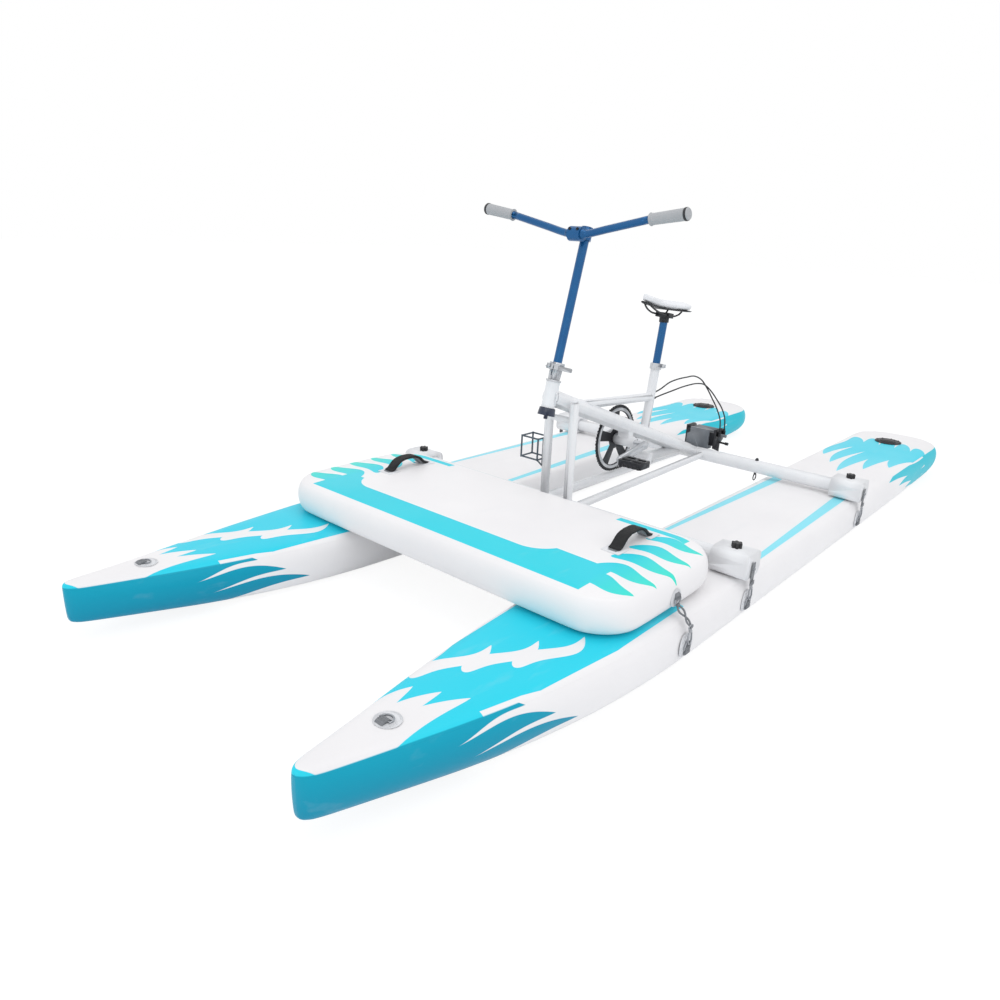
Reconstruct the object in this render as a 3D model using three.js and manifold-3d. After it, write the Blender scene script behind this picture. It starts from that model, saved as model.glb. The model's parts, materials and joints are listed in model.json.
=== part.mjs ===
// Pontoon water bike: two inflatable hulls under a welded bicycle frame,
// with an inflated front platform, a chain and shaft drive and a cable-steered rear drive head.
// Millimetres, +Z up, bow towards -Y, the rider's left (port) is +X.
// The origin is on the ground, below the middle of the hulls.
import * as THREE from 'three';
import { mergeVertices } from 'three/addons/utils/BufferGeometryUtils.js';
import Module from 'manifold-3d';

const wasm = await Module();
wasm.setup();

// Fits that every piece shares.
const seatGap = 0.3;
const overrun = 5;
const runningGap = 0.6;
// How far a ring's wire axis stands above the patch that it is sewn to.
const wireProudShare = 0.32;

// Hull: a drop-stitch pontoon with a flat deck and round sides.
const hull = {
  length: 3850,
  width: 436,
  height: 155,
  spacing: 1056,
  sideBulge: 42,
  bowTaper: 1150,
  bowTipWidth: 52,
  bowNose: 26,
  bowLift: 56,
  bowLiftRun: 850,
  deckRise: 20,
  deckRiseRun: 800,
  sternTaper: 240,
  sternLift: 42,
  sternLiftRun: 480,
  sternClosing: 7,
};
const hullStations = { bow: 11, middle: 5, stern: 8 };
const hullSideSteps = 6;
const bowFullnessShare = 0.85;
const sternFullnessShare = 0.36;
const bowEndShares = [0.86, 0.96];
const sternEndShare = 0.9;

// Front platform: an inflated cross pad on both decks.
const pad = {
  inset: 46,
  depth: 600,
  height: 112,
  rearGap: 50,
  corner: 150,
  sideBulge: 32,
  crown: 5,
};
const padWallSteps = 6;
const padCornerSteps = 6;
const padCrownShares = [0.72, 0.36];
const padHandle = {
  spacing: 970,
  length: 205,
  width: 34,
  thickness: 7,
  rise: 46,
  archThickness: 9,
  foot: 34,
  fromRear: 198,
};
const handleFlankShare = 1.35;
const handleFlankRiseShare = 0.62;
const handleShoulderShare = 0.8;

// Crossbars and the moulded saddles that hold them on the hulls.
const crossbar = {
  diameter: 55,
  inset: 14,
  frontY: -465,
  rearY: 565,
};
const saddleBlock = {
  length: 118,
  width: 104,
  floor: 10,
  shoulder: 16,
  corner: 24,
  knobDiameter: 34,
  knobHeight: 16,
  knobArm: 10,
};
const knobArms = 6;

// Straps with a ring and a snap hook at the hull's outer side.
const strap = {
  width: 26,
  thickness: 3,
  ring: 34,
  ringWire: 5,
  hookLength: 46,
  hookWidth: 18,
  patch: 70,
  patchThickness: 2.5,
};
const bowRing = {
  fromTip: 225,
  patch: 62,
  patchThickness: 2,
  ring: 34,
  wire: 4.5,
};
const valve = {
  fromStern: 235,
  flange: 128,
  flangeTop: 124,
  flangeThickness: 4,
  cap: 84,
  capTop: 78,
  capHeight: 9,
  grooveOuter: 66,
  grooveInner: 56,
};

// Steering head: the axis leans back by the rake.
const head = {
  ahead: 85,
  height: 347,
  rake: 14.7,
  tube: 46,
  bore: 36,
  tubeLength: 88,
  lowerCup: 60,
  lowerCupTop: 54,
  lowerCupHeight: 26,
  upperRing: 52,
  upperRingHeight: 5,
  collar: 46,
  collarFoot: 40,
  collarHeight: 58,
  clampBand: 52,
  clampBandHeight: 18,
  steerer: 35.4,
  crownBolt: 14,
  crownBoltHeight: 12,
};
const clampSlit = { width: 4, setback: 4, depth: 46 };
const stem = {
  diameter: 29.8,
  bore: 24,
  reach: 442,
  insert: 120,
  clampAhead: 52,
  clampHeight: 42,
  clampBody: 46,
  clampCollar: 40,
  clampWidth: 48,
  bridge: 32,
  bridgeEnd: 37,
  split: 2,
};
const bar = {
  diameter: 24,
  span: 776,
  rise: 68,
  gripRise: 49,
  flat: 64,
  kneeX: 118,
  kneeRise: 18,
  clampDiameter: 30,
  steps: 24,
};
const grip = {
  length: 128,
  diameter: 34,
  endDiameter: 37,
  ribDepth: 1.2,
  shortBy: 8,
  cap: 6,
  capWall: 4,
  capRound: 3,
  proud: 1,
};
const gripRibs = 6;

// Frame tubes.
const mainTube = { diameter: 58, headRise: 51 };
const topTube = { diameter: 34, branch: 138, seatHeight: 118 };
const seatTube = { diameter: 36, bore: 31, boreFoot: 39, y: 103, rake: 8, length: 268 };
const leg = {
  diameter: 32,
  spacing: 104,
  height: 372,
  brace: 22,
  braceDrop: 62,
  capTop: 19,
  capHeight: 8,
  capLean: 4,
};
const rail = { diameter: 30, frontSpacing: 148, rearSpacing: 96 };
const rearPlate = { width: 92, height: 132, thickness: 10, standoff: 6, web: 31 };

// Seat.
const seatPost = { diameter: 30.4, reach: 186, insert: 110 };
const seatCollar = { diameter: 46, height: 24, ears: 17 };
const saddle = {
  length: 286,
  width: 158,
  noseWidth: 42,
  thickness: 34,
  shell: 6,
  tilt: 10,
  ahead: -38,
  clampHeight: 26,
  clampWidth: 44,
  clampLength: 52,
  railSpacing: 44,
  railWire: 7,
  railDrop: 24,
  railSlack: 2,
  jawWidth: 60,
  jawDepth: 36,
  jawHeight: 18,
  foot: 38,
  footLength: 15,
  crown: 12,
  inset: 2,
};
const saddleStations = 10;
const saddleRingSteps = 10;
// Where the saddle's nose rounds off, its flare starts and its tail rounds off, along its length.
const noseRoundShare = 0.09;
const flareStartShare = 0.4;
const flareRunShare = 0.42;
const tailRoundShare = 0.14;
const noseWidthShare = 0.25;
const tailWidthShare = 0.45;
const tailFloorShare = 0.02;
// The saddle's dip, its raised tail and its narrower underside.
const dipShare = 0.35;
const kickStartShare = 0.7;
const kickShare = 2;
const undersideShare = 0.92;
// A thin skin is crowned by this share of its thickness at most, so its top never meets its underside.
const thinCrownShare = 0.5;
const saddleEndShare = 0.01;
// Each rail's path from nose to tail: how far out, and shares of the length and the drop.
const railHalf = saddle.railSpacing / 2;
const railPath = [
  { out: 10, alongShare: -0.38, dropShare: 0.07 },
  { out: 16, alongShare: -0.27, dropShare: 0.6 },
  { out: railHalf, alongShare: -0.08, dropShare: 1 },
  { out: railHalf, alongShare: 0.04, dropShare: 1 },
  { out: railHalf, alongShare: 0.14, dropShare: 1 },
  { out: railHalf, alongShare: 0.24, dropShare: 1 },
  { out: 29, alongShare: 0.34, dropShare: 0.55 },
  { out: 31, alongShare: 0.39, dropShare: 0.07 },
];
const railSteps = 12;

// Quick-release levers of the two clamps.
const lever = { length: 62, width: 14, thickness: 6, cam: 15, bolt: 7, boltSink: 1, ears: 26, angle: 66 };

// Pedal drive.
const bottomBracket = {
  y: -35,
  drop: 58,
  shell: 44,
  width: 74,
  cup: 40,
  cupWidth: 7,
  hangerWidth: 48,
  hangerDepth: 35,
};
const driveTube = { diameter: 44, endY: 400, sink: 14 };
const spindle = { diameter: 20, length: 196 };
const crank = {
  length: 175,
  width: 30,
  tipWidth: 24,
  thickness: 15,
  step: 2,
  relief: 3,
  droop: 8,
  bolt: 15,
  boltHeight: 4,
};
// The groove in the crank's outer face, from root to tip.
const grooveStartShare = 0.16;
const grooveEndShare = 0.82;
const grooveRootShare = 0.18;
const grooveTipShare = 0.14;
const pedal = {
  width: 98,
  length: 78,
  height: 22,
  bar: 9,
  tooth: 5,
  axle: 12,
  hub: 24,
  hubOverlap: 2,
  gap: 6,
};
const pedalTeeth = 8;
const chain = {
  pitch: 12.7,
  wheelTeeth: 64,
  sprocketTeeth: 16,
  links: 74,
  fall: 32,
  planeX: 46,
  plateHeight: 9,
  plateThickness: 1.4,
  innerWidth: 4.2,
  pin: 5,
  rivetHead: 0.8,
};
const chainPinEvery = 3;
const chainPinSides = 5;
const wheel = {
  thickness: 3.4,
  toothHeight: 4,
  rootShare: 0.13,
  guardOuter: 244,
  guardInner: 222,
  guardThickness: 2.4,
  hub: 56,
  hubWidth: 14,
  windowOuter: 108,
  windowInner: 42,
  spoke: 0.2,
};
const wheelWindows = 5;
const windowRimShares = [-1, -0.5, 0, 0.5, 1];
const windowHubShares = [0.55, -0.55];
const windowStartShare = 0.25;
const jackshaft = { diameter: 15, boss: 52, bossWidth: 62, flange: 40, cap: 22 };

// Rear drive head: a tilt block between two cheeks, and a swivelling gear head under it.
const cheek = { spacing: 132, thickness: 6, nose: 33.5, low: 76, lowBack: 53, back: 60, backDrop: 11 };
const cheekSteps = 8;
const tiltBlock = { width: 112, depth: 70, height: 44, round: 76, pin: 14, pinReach: 26, pinShort: 13 };
const tiltAxis = { behind: 62, height: 74 };
const gearHead = {
  diameter: 74,
  lowDiameter: 59,
  height: 48,
  armClear: 4,
  armWidth: 18,
  armThickness: 6,
  kingpin: 20,
};
const output = { diameter: 34, height: 22, slot: 8, slotDepth: 9 };
const lockPin = { diameter: 9, length: 40, ball: 14, below: 34 };

// Steering cables, from the frame's outlet to the stops on the port cheek.
const cable = {
  diameter: 6,
  ferrule: 9,
  ferruleLength: 18,
  stop: 16,
  stopHeight: 22,
  stopSink: 1,
  stopSocket: 8,
  stopAhead: 34,
  stopStep: 46.5,
  outletRun: 40,
  outletRise: 4,
  archRise: 36,
  archHip: 24,
  spread: 7,
  landing: 36,
  bend: 84,
  bendBack: 16,
  shoulder: 150,
  shoulderBack: 62,
};
const cableSteps = 30;
// Where the arch's three points stand along the way, and how far out each is.
const archRunShares = [0.22, 0.46, 0.68];
const archOutShares = [0.13, 0.27, 0.4];
const shoulderOutShare = 0.75;
const bendOutShare = 0.94;

// Wire cage on the starboard leg, and the cargo eye on the rear crossbar.
const cage = { width: 74, depth: 62, height: 76, wire: 6.5, above: 150, tail: 27 };
const eye = { x: 300, bolt: 10, head: 16, ring: 30, wire: 5, drop: 34 };

// Facet counts.
const fine = 20;
const medium = 14;
const coarse = 8;
const small = 6;

// Colours of the finishes.
const paint = {
  hullWhite: { color: 0xe9edef, roughness: 0.45, metalness: 0 },
  padWhite: { color: 0xece8e4, roughness: 0.5, metalness: 0 },
  frameWhite: { color: 0xeceef0, roughness: 0.28, metalness: 0 },
  mouldWhite: { color: 0xe4e6e8, roughness: 0.5, metalness: 0 },
  blueAnodised: { color: 0x0b63a5, roughness: 0.25, metalness: 0.8 },
  navy: { color: 0x122a4c, roughness: 0.35, metalness: 0.5 },
  black: { color: 0x101116, roughness: 0.5, metalness: 0.1 },
  rubberWhite: { color: 0xe2e2e0, roughness: 0.7, metalness: 0 },
  webbing: { color: 0x15171c, roughness: 0.85, metalness: 0 },
  steel: { color: 0xb9bcc0, roughness: 0.3, metalness: 0.9 },
  alloy: { color: 0xc6c8ca, roughness: 0.35, metalness: 0.85 },
  greyCast: { color: 0x7f858a, roughness: 0.45, metalness: 0.6 },
  darkWire: { color: 0x3c4f57, roughness: 0.4, metalness: 0.6 },
};

// Vector and solid helpers.
const up = new THREE.Vector3(0, 1, 0);
const v = (x, y, z) => new THREE.Vector3(x, y, z);
const degrees = Math.PI / 180;

function toSolid(geometry) {
  const bare = geometry.index ? geometry.toNonIndexed() : geometry.clone();
  bare.deleteAttribute('normal');
  bare.deleteAttribute('uv');
  const welded = mergeVertices(bare);
  const vertProperties = new Float32Array(welded.attributes.position.array);
  const triVerts = new Uint32Array(welded.index.array);
  return new wasm.Manifold(new wasm.Mesh({ numProp: 3, vertProperties, triVerts }));
}

function toGeometry(solid) {
  const mesh = solid.getMesh();
  const geometry = new THREE.BufferGeometry();
  geometry.setAttribute('position', new THREE.BufferAttribute(mesh.vertProperties, mesh.numProp));
  geometry.setIndex(new THREE.BufferAttribute(mesh.triVerts, 1));
  geometry.computeVertexNormals();
  return geometry;
}

function union(...solids) {
  return solids.reduce((sum, solid) => sum.add(solid));
}

function cut(solid, ...tools) {
  return tools.reduce((rest, tool) => rest.subtract(tool), solid);
}

// A round bar from one point to another, with its own radius at each end.
function rod(start, end, diameter, sides = medium, endDiameter = diameter) {
  const axis = end.clone().sub(start);
  const geometry = new THREE.CylinderGeometry(endDiameter / 2, diameter / 2, axis.length(), sides);
  geometry.applyQuaternion(new THREE.Quaternion().setFromUnitVectors(up, axis.clone().normalize()));
  const middle = start.clone().add(end).divideScalar(2);
  geometry.translate(middle.x, middle.y, middle.z);
  return toSolid(geometry);
}

function tube(start, end, diameter, bore, sides = medium) {
  const along = end.clone().sub(start).setLength(overrun);
  const inner = rod(start.clone().sub(along), end.clone().add(along), bore, sides);
  return cut(rod(start, end, diameter, sides), inner);
}

function block(width, depth, height, x, y, z) {
  const geometry = new THREE.BoxGeometry(width, depth, height);
  geometry.translate(x, y, z);
  return toSolid(geometry);
}

// A closed outline of points, extruded along +Z and centred on its thickness.
function slab(points, thickness, holes = []) {
  const shape = new THREE.Shape(points);
  holes.forEach((hole) => shape.holes.push(new THREE.Path(hole)));
  const geometry = new THREE.ExtrudeGeometry(shape, { depth: thickness, bevelEnabled: false });
  geometry.translate(0, 0, -thickness / 2);
  return toSolid(geometry);
}

function circlePoints(x, y, radius, count, start = 0) {
  const points = [];
  for (let i = 0; i < count; i += 1) {
    const angle = start + (2 * Math.PI * i) / count;
    points.push(new THREE.Vector2(x + radius * Math.cos(angle), y + radius * Math.sin(angle)));
  }
  return points;
}

// A rectangle with round corners, counter-clockwise.
function roundedRectangle(width, height, radius, steps = 4) {
  const points = [];
  const corners = [[1, 1], [-1, 1], [-1, -1], [1, -1]];
  corners.forEach(([sx, sy], corner) => {
    for (let i = 0; i <= steps; i += 1) {
      const angle = (corner + i / steps) * (Math.PI / 2);
      const x = sx * (width / 2 - radius) + radius * Math.cos(angle);
      const y = sy * (height / 2 - radius) + radius * Math.sin(angle);
      points.push(new THREE.Vector2(x, y));
    }
  });
  return points;
}

// A rod bent along a smooth curve through the given points.
function bentRod(points, diameter, steps, sides = small, closed = false) {
  const curve = new THREE.CatmullRomCurve3(points, closed, 'centripetal');
  const section = new THREE.Shape(circlePoints(0, 0, diameter / 2, sides));
  const geometry = new THREE.ExtrudeGeometry(section, { steps, extrudePath: curve, bevelEnabled: false });
  return toSolid(geometry);
}

// A skin through rings of equal point counts, closed by a fan at each end.
function loft(rings) {
  const count = rings[0].length;
  const positions = [];
  const index = [];
  rings.forEach((ring) => ring.forEach((p) => positions.push(p.x, p.y, p.z)));
  for (let r = 0; r + 1 < rings.length; r += 1) {
    for (let i = 0; i < count; i += 1) {
      const a = r * count + i;
      const b = r * count + ((i + 1) % count);
      index.push(a, b, a + count, b, b + count, a + count);
    }
  }
  const last = (rings.length - 1) * count;
  for (let i = 1; i + 1 < count; i += 1) {
    index.push(0, i + 1, i, last, last + i, last + i + 1);
  }
  const geometry = new THREE.BufferGeometry();
  geometry.setAttribute('position', new THREE.Float32BufferAttribute(positions, 3));
  geometry.setIndex(index);
  return toSolid(geometry);
}

const waterBike = new THREE.Group();
const finishes = {};

function add(name, solid, finish, parent = waterBike) {
  finishes[finish] = finishes[finish] || new THREE.MeshStandardMaterial(paint[finish]);
  const mesh = new THREE.Mesh(toGeometry(solid), finishes[finish]);
  mesh.name = name;
  parent.add(mesh);
  return mesh;
}

// Places that several pieces follow.
const hullX = hull.spacing / 2;
const bowY = -hull.length / 2;
const sternY = hull.length / 2;
const deckZ = hull.height;
const overallWidth = hull.spacing + hull.width;
const crossbarLength = overallWidth - 2 * crossbar.inset;
const padWidth = overallWidth - 2 * pad.inset;
const crossbarZ = deckZ + seatGap + saddleBlock.floor + seatGap + crossbar.diameter / 2;
const padRearY = crossbar.frontY - crossbar.diameter / 2 - pad.rearGap;
const padZ = deckZ + seatGap;

// Hull.
function hullHalfWidth(along) {
  const tip = hull.bowTipWidth / 2;
  const full = hull.width / 2;
  const rise = Math.sin((Math.PI / 2) * Math.min(1, along / hull.bowTaper)) ** bowFullnessShare;
  const nose = Math.sqrt(1 - Math.max(0, 1 - along / hull.bowNose) ** 2);
  const aft = Math.max(0, along - (hull.length - hull.sternTaper));
  const tail = aft / (hull.sternTaper + hull.sternClosing);
  const stern = (1 - tail ** 5) ** sternFullnessShare;
  return (tip * nose + (full - tip) * rise) * stern;
}

function hullRing(along, endShare) {
  const fore = Math.max(0, 1 - along / hull.deckRiseRun);
  const entry = Math.max(0, 1 - along / hull.bowLiftRun);
  const exit = Math.max(0, (along - (hull.length - hull.sternLiftRun)) / hull.sternLiftRun);
  const top = deckZ + hull.deckRise * fore ** 2;
  const bottom = hull.bowLift * entry ** 2 + hull.sternLift * exit ** 2;
  const halfWidth = Math.max(hullHalfWidth(along), hull.bowNose / 4);
  const bulge = Math.min(hull.sideBulge, halfWidth / 2);
  const halfHeight = ((top - bottom) / 2) * endShare;
  const middle = (top + bottom) / 2;
  const ring = [];
  [1, -1].forEach((side) => {
    for (let i = 0; i <= hullSideSteps; i += 1) {
      const angle = side * (Math.PI / 2) * (1 - (2 * i) / hullSideSteps);
      const x = side * (halfWidth - bulge + bulge * Math.cos(angle));
      ring.push(v(x, bowY + along, middle + halfHeight * Math.sin(angle)));
    }
  });
  return ring;
}

function hullSolid() {
  const alongs = [0, hull.bowNose / 4, hull.bowNose];
  const bowEnd = hull.bowTaper;
  const sternStart = hull.length - hull.sternTaper;
  for (let i = 1; i <= hullStations.bow; i += 1) {
    alongs.push(hull.bowNose + (bowEnd - hull.bowNose) * (i / hullStations.bow));
  }
  for (let i = 1; i <= hullStations.middle; i += 1) {
    alongs.push(bowEnd + (sternStart - bowEnd) * (i / hullStations.middle));
  }
  for (let i = 1; i <= hullStations.stern; i += 1) {
    const share = Math.sin((Math.PI / 2) * (i / hullStations.stern));
    alongs.push(sternStart + hull.sternTaper * share);
  }
  const endShares = alongs.map((along, i) => bowEndShares[i] || 1);
  endShares[alongs.length - 1] = sternEndShare;
  return loft(alongs.map((along, i) => hullRing(along, endShares[i])));
}

function addHull(side, sign) {
  const solid = hullSolid().translate([sign * hullX, 0, 0]);
  add(`hull_${side}`, solid, 'hullWhite');
}

// A screw valve under its flat cap, let into a round flange on the stern deck.
function addValve(side, sign) {
  const y = sternY - valve.fromStern;
  const base = deckZ + seatGap;
  const flangeZ = base + valve.flangeThickness;
  const flange = rod(v(0, y, base), v(0, y, flangeZ), valve.flange, fine, valve.flangeTop);
  const lid = rod(v(0, y, base), v(0, y, base + valve.capHeight), valve.cap, fine, valve.capTop);
  const groove = tube(
    v(0, y, flangeZ),
    v(0, y, base + valve.capHeight + overrun),
    valve.grooveOuter,
    valve.grooveInner,
    fine,
  );
  add(`valve_${side}`, cut(union(flange, lid), groove).translate([sign * hullX, 0, 0]), 'darkWire');
}

// A carry ring that lies in its webbing patch on the bow deck.
function addBowRing(side, sign) {
  const y = bowY + bowRing.fromTip;
  const rise = hull.deckRise * (1 - bowRing.fromTip / hull.deckRiseRun) ** 2;
  const slope = Math.atan((2 * hull.deckRise * (1 - bowRing.fromTip / hull.deckRiseRun)) / hull.deckRiseRun);
  const patch = rod(v(0, 0, 0), v(0, 0, bowRing.patchThickness), bowRing.patch, medium);
  const ringZ = bowRing.patchThickness + bowRing.wire * wireProudShare;
  const ring = bentRod(
    circlePoints(0, 0, bowRing.ring / 2, coarse).map((p) => v(p.x, p.y, ringZ)),
    bowRing.wire,
    coarse,
    small,
    true,
  );
  const lift = deckZ + rise + seatGap + bowRing.patch * Math.sin(slope) / 4;
  const solid = union(patch, ring).rotate([-slope / degrees, 0, 0]).translate([sign * hullX, y, lift]);
  add(`bow_ring_${side}`, solid, 'steel');
}

// Front platform with its two webbing handles.
function padOutline(inset) {
  return roundedRectangle(padWidth - 2 * inset, pad.depth - 2 * inset, pad.corner - inset, padCornerSteps);
}

function padSolid() {
  const rings = [];
  for (let i = 0; i <= padWallSteps; i += 1) {
    const angle = (Math.PI / 2) * ((2 * i) / padWallSteps - 1);
    const inset = pad.sideBulge * (1 - Math.cos(angle));
    const z = (pad.height / 2) * (1 + Math.sin(angle));
    rings.push(padOutline(inset).map((p) => v(p.x, p.y, z)));
  }
  padCrownShares.forEach((share) => {
    const lift = pad.height + pad.crown * (1 - share ** 2);
    rings.push(padOutline(pad.sideBulge).map((p) => v(p.x * share, p.y * share, lift)));
  });
  return loft(rings).translate([0, padRearY - pad.depth / 2, padZ]);
}

function addPad() {
  add('front_platform', padSolid(), 'padWhite');
}

function addPadHandle(side, sign) {
  const innerShare = (padHandle.spacing - padHandle.width) / (padWidth - 2 * pad.sideBulge);
  const top = padZ + pad.height + pad.crown * (1 - innerShare ** 2);
  const half = padHandle.length / 2;
  const foot = padHandle.foot;
  const rise = padHandle.rise;
  const flankY = half - foot * handleFlankShare;
  const flankZ = rise * handleFlankRiseShare;
  const shoulderY = half - foot * handleShoulderShare;
  const archZ = rise - padHandle.archThickness;
  const rearHalf = [
    [half / 3, archZ], [flankY, flankZ], [half - foot, 0], [half, 0],
    [half, padHandle.thickness / 2], [shoulderY, padHandle.thickness],
    [half - foot, rise * handleShoulderShare], [half / 3, rise],
  ];
  const frontHalf = rearHalf.map(([y, z]) => [-y, z]).reverse();
  const outer = [...rearHalf, ...frontHalf].map(([y, z]) => new THREE.Vector2(y, z));
  const solid = slab(outer, padHandle.width)
    .rotate([90, 0, 90])
    .translate([sign * (padHandle.spacing / 2), padRearY - padHandle.fromRear, top + seatGap]);
  add(`platform_handle_${side}`, solid, 'webbing');
}

// Crossbars, end saddles and their straps.
function crossbarSolid() {
  const half = crossbarLength / 2;
  return rod(v(-half, 0, 0), v(half, 0, 0), crossbar.diameter, fine);
}

// A cargo eye: the bolt passes through the crossbar and carries a ring below it.
function eyeSolid(x) {
  const radius = crossbar.diameter / 2;
  const low = -radius - eye.drop;
  const shank = rod(v(x, 0, low + eye.ring - eye.wire), v(x, 0, radius + eye.bolt), eye.bolt, small);
  const head = rod(v(x, 0, radius - eye.wire), v(x, 0, radius + eye.bolt / 2), eye.head, small);
  const ring = bentRod(
    circlePoints(0, 0, eye.ring / 2, coarse).map((p) => v(x, p.x, low + eye.ring / 2 + p.y)),
    eye.wire,
    coarse,
    small,
    true,
  );
  return union(shank, head, ring);
}

function addCrossbar(place, y, eyes) {
  const solid = union(crossbarSolid(), ...eyes.map((x) => eyeSolid(x)));
  add(`${place}_crossbar`, solid.translate([0, y, crossbarZ]), 'frameWhite');
}

function saddleBlockSolid(sign) {
  const height = saddleBlock.floor + seatGap + crossbar.diameter + saddleBlock.shoulder;
  const outline = roundedRectangle(saddleBlock.width, height, saddleBlock.corner);
  const body = slab(outline, saddleBlock.length).rotate([90, 0, 90]);
  const reach = saddleBlock.length / 2 - saddleBlock.shoulder;
  const seat = rod(
    v(-sign * saddleBlock.length, 0, 0),
    v(sign * reach, 0, 0),
    crossbar.diameter + 2 * seatGap,
    fine,
  );
  const seatZ = saddleBlock.floor + seatGap + crossbar.diameter / 2 - height / 2;
  const arms = [];
  const hubTop = height / 2 + saddleBlock.knobHeight;
  const armRadius = (saddleBlock.knobDiameter - saddleBlock.knobArm) / 2;
  for (let i = 0; i < knobArms; i += 1) {
    const angle = (2 * Math.PI * i) / knobArms;
    const x = armRadius * Math.cos(angle);
    const y = armRadius * Math.sin(angle);
    arms.push(rod(v(x, y, height / 2 - seatGap), v(x, y, hubTop), saddleBlock.knobArm, small));
  }
  const hub = rod(v(0, 0, height / 2 - seatGap), v(0, 0, hubTop), 2 * armRadius, coarse);
  return cut(union(body, hub, ...arms), seat.translate([0, 0, seatZ])).translate([0, 0, height / 2]);
}

function addSaddleBlock(name, sign, y) {
  const x = sign * (crossbarLength / 2 + seatGap - (saddleBlock.length / 2 - saddleBlock.shoulder));
  add(name, saddleBlockSolid(sign).translate([x, y, deckZ + seatGap]), 'mouldWhite');
}

// A patch on the hull's side, its ring, the strap and the snap hook, as they hang when made fast.
function strapSolid(sign, y, topZ) {
  const face = hullHalfWidth(y - bowY + strap.patch / 2) + seatGap;
  const midZ = deckZ / 2;
  const patch = rod(v(face, 0, midZ), v(face + strap.patchThickness, 0, midZ), strap.patch, medium);
  const ringX = face + strap.patchThickness + strap.ringWire * wireProudShare;
  const ring = bentRod(
    circlePoints(0, midZ, strap.ring / 2, coarse).map((p) => v(ringX, p.x, p.y)),
    strap.ringWire,
    coarse,
    small,
    true,
  );
  const hookTop = midZ + strap.ring / 2 + strap.hookLength;
  const hook = block(
    strap.thickness * 2,
    strap.hookWidth,
    hookTop - midZ - strap.ring / 4,
    ringX + strap.ringWire / 4,
    0,
    (hookTop + midZ + strap.ring / 4) / 2,
  );
  const webbing = block(
    strap.thickness,
    strap.width,
    topZ - hookTop + strap.thickness,
    ringX + strap.ringWire / 4,
    0,
    (topZ + hookTop - strap.thickness) / 2,
  );
  const solid = union(patch, ring, hook, webbing);
  return sign > 0 ? solid : solid.mirror([1, 0, 0]);
}

function addStrap(name, sign, y, topZ) {
  add(name, strapSolid(sign, y, topZ).translate([sign * hullX, y, 0]), 'steel');
}

// Steering head axis.
const rake = head.rake * degrees;
const headLow = v(0, crossbar.frontY - head.ahead, crossbarZ + head.height);
const headAxis = v(0, Math.sin(rake), Math.cos(rake));
const onHead = (distance) => headLow.clone().addScaledVector(headAxis, distance);
const headTubeLow = head.lowerCupHeight / 2 + seatGap;
const headTubeTop = headTubeLow + head.tubeLength;
const collarLow = headTubeTop + seatGap + head.upperRingHeight + seatGap;
const bandLow = collarLow + head.collarHeight - head.clampBandHeight;
const stemTop = collarLow + head.collarHeight + stem.reach - stem.clampHeight;

// Main tube, from the head tube's middle down to the rear crossbar.
const mainStart = onHead(mainTube.headRise);
const mainEnd = v(0, crossbar.rearY, crossbarZ);
const mainAxis = mainEnd.clone().sub(mainStart).normalize();
const onMain = (y) => mainStart.clone().addScaledVector(mainAxis, (y - mainStart.y) / mainAxis.y);
const bracketCentre = v(0, bottomBracket.y, onMain(bottomBracket.y).z - bottomBracket.drop);

// The distance between the chainwheel and the sprocket that a whole chain of links asks for.
function pitchRadius(teeth) {
  return chain.pitch / (2 * Math.sin(Math.PI / teeth));
}
const wheelRadius = pitchRadius(chain.wheelTeeth);
const sprocketRadius = pitchRadius(chain.sprocketTeeth);
function loopLength(distance) {
  const lean = Math.asin((wheelRadius - sprocketRadius) / distance);
  const straight = distance * Math.cos(lean);
  const wheelPart = (chain.pitch * chain.wheelTeeth * (Math.PI + 2 * lean)) / (2 * Math.PI);
  const sprocketPart = (chain.pitch * chain.sprocketTeeth * (Math.PI - 2 * lean)) / (2 * Math.PI);
  return 2 * straight + wheelPart + sprocketPart;
}
function chainDistance() {
  let low = wheelRadius - sprocketRadius + chain.pitch / 4;
  let high = low + chain.pitch * chain.links;
  for (let i = 0; i < 60; i += 1) {
    const middle = (low + high) / 2;
    if (loopLength(middle) < chain.pitch * chain.links) {
      low = middle;
    } else {
      high = middle;
    }
  }
  return low;
}
const sprocketDistance = chainDistance();
const chainFall = chain.fall * degrees;
const jackCentre = bracketCentre.clone().add(v(
  0,
  sprocketDistance * Math.cos(chainFall),
  -sprocketDistance * Math.sin(chainFall),
));

function addMainTube() {
  const shellHalf = bottomBracket.width / 2;
  const start = mainStart.clone().addScaledVector(mainAxis, head.tube / 4);
  const end = mainEnd.clone();
  const body = rod(start, end, mainTube.diameter, fine);
  const shell = rod(
    bracketCentre.clone().setX(-shellHalf),
    bracketCentre.clone().setX(shellHalf),
    bottomBracket.shell,
    fine,
  );
  const hanger = block(
    bottomBracket.hangerWidth,
    bottomBracket.hangerDepth,
    bottomBracket.drop,
    0,
    bracketCentre.y,
    bracketCentre.z + bottomBracket.drop / 2,
  );
  const cupHalf = shellHalf + bottomBracket.cupWidth;
  const cups = rod(
    bracketCentre.clone().setX(-cupHalf),
    bracketCentre.clone().setX(cupHalf),
    bottomBracket.cup,
    fine,
  );
  const bore = rod(
    bracketCentre.clone().setX(-cupHalf - overrun),
    bracketCentre.clone().setX(cupHalf + overrun),
    spindle.diameter + 2 * runningGap,
    medium,
  );
  const headSeat = rod(onHead(-overrun), onHead(headTubeTop + overrun), head.tube + 2 * seatGap, fine);
  const joined = union(body, shell, cups, hanger);
  add('main_tube', cut(joined, bore, crossbarTool(crossbar.rearY), headSeat), 'frameWhite');
}

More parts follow.
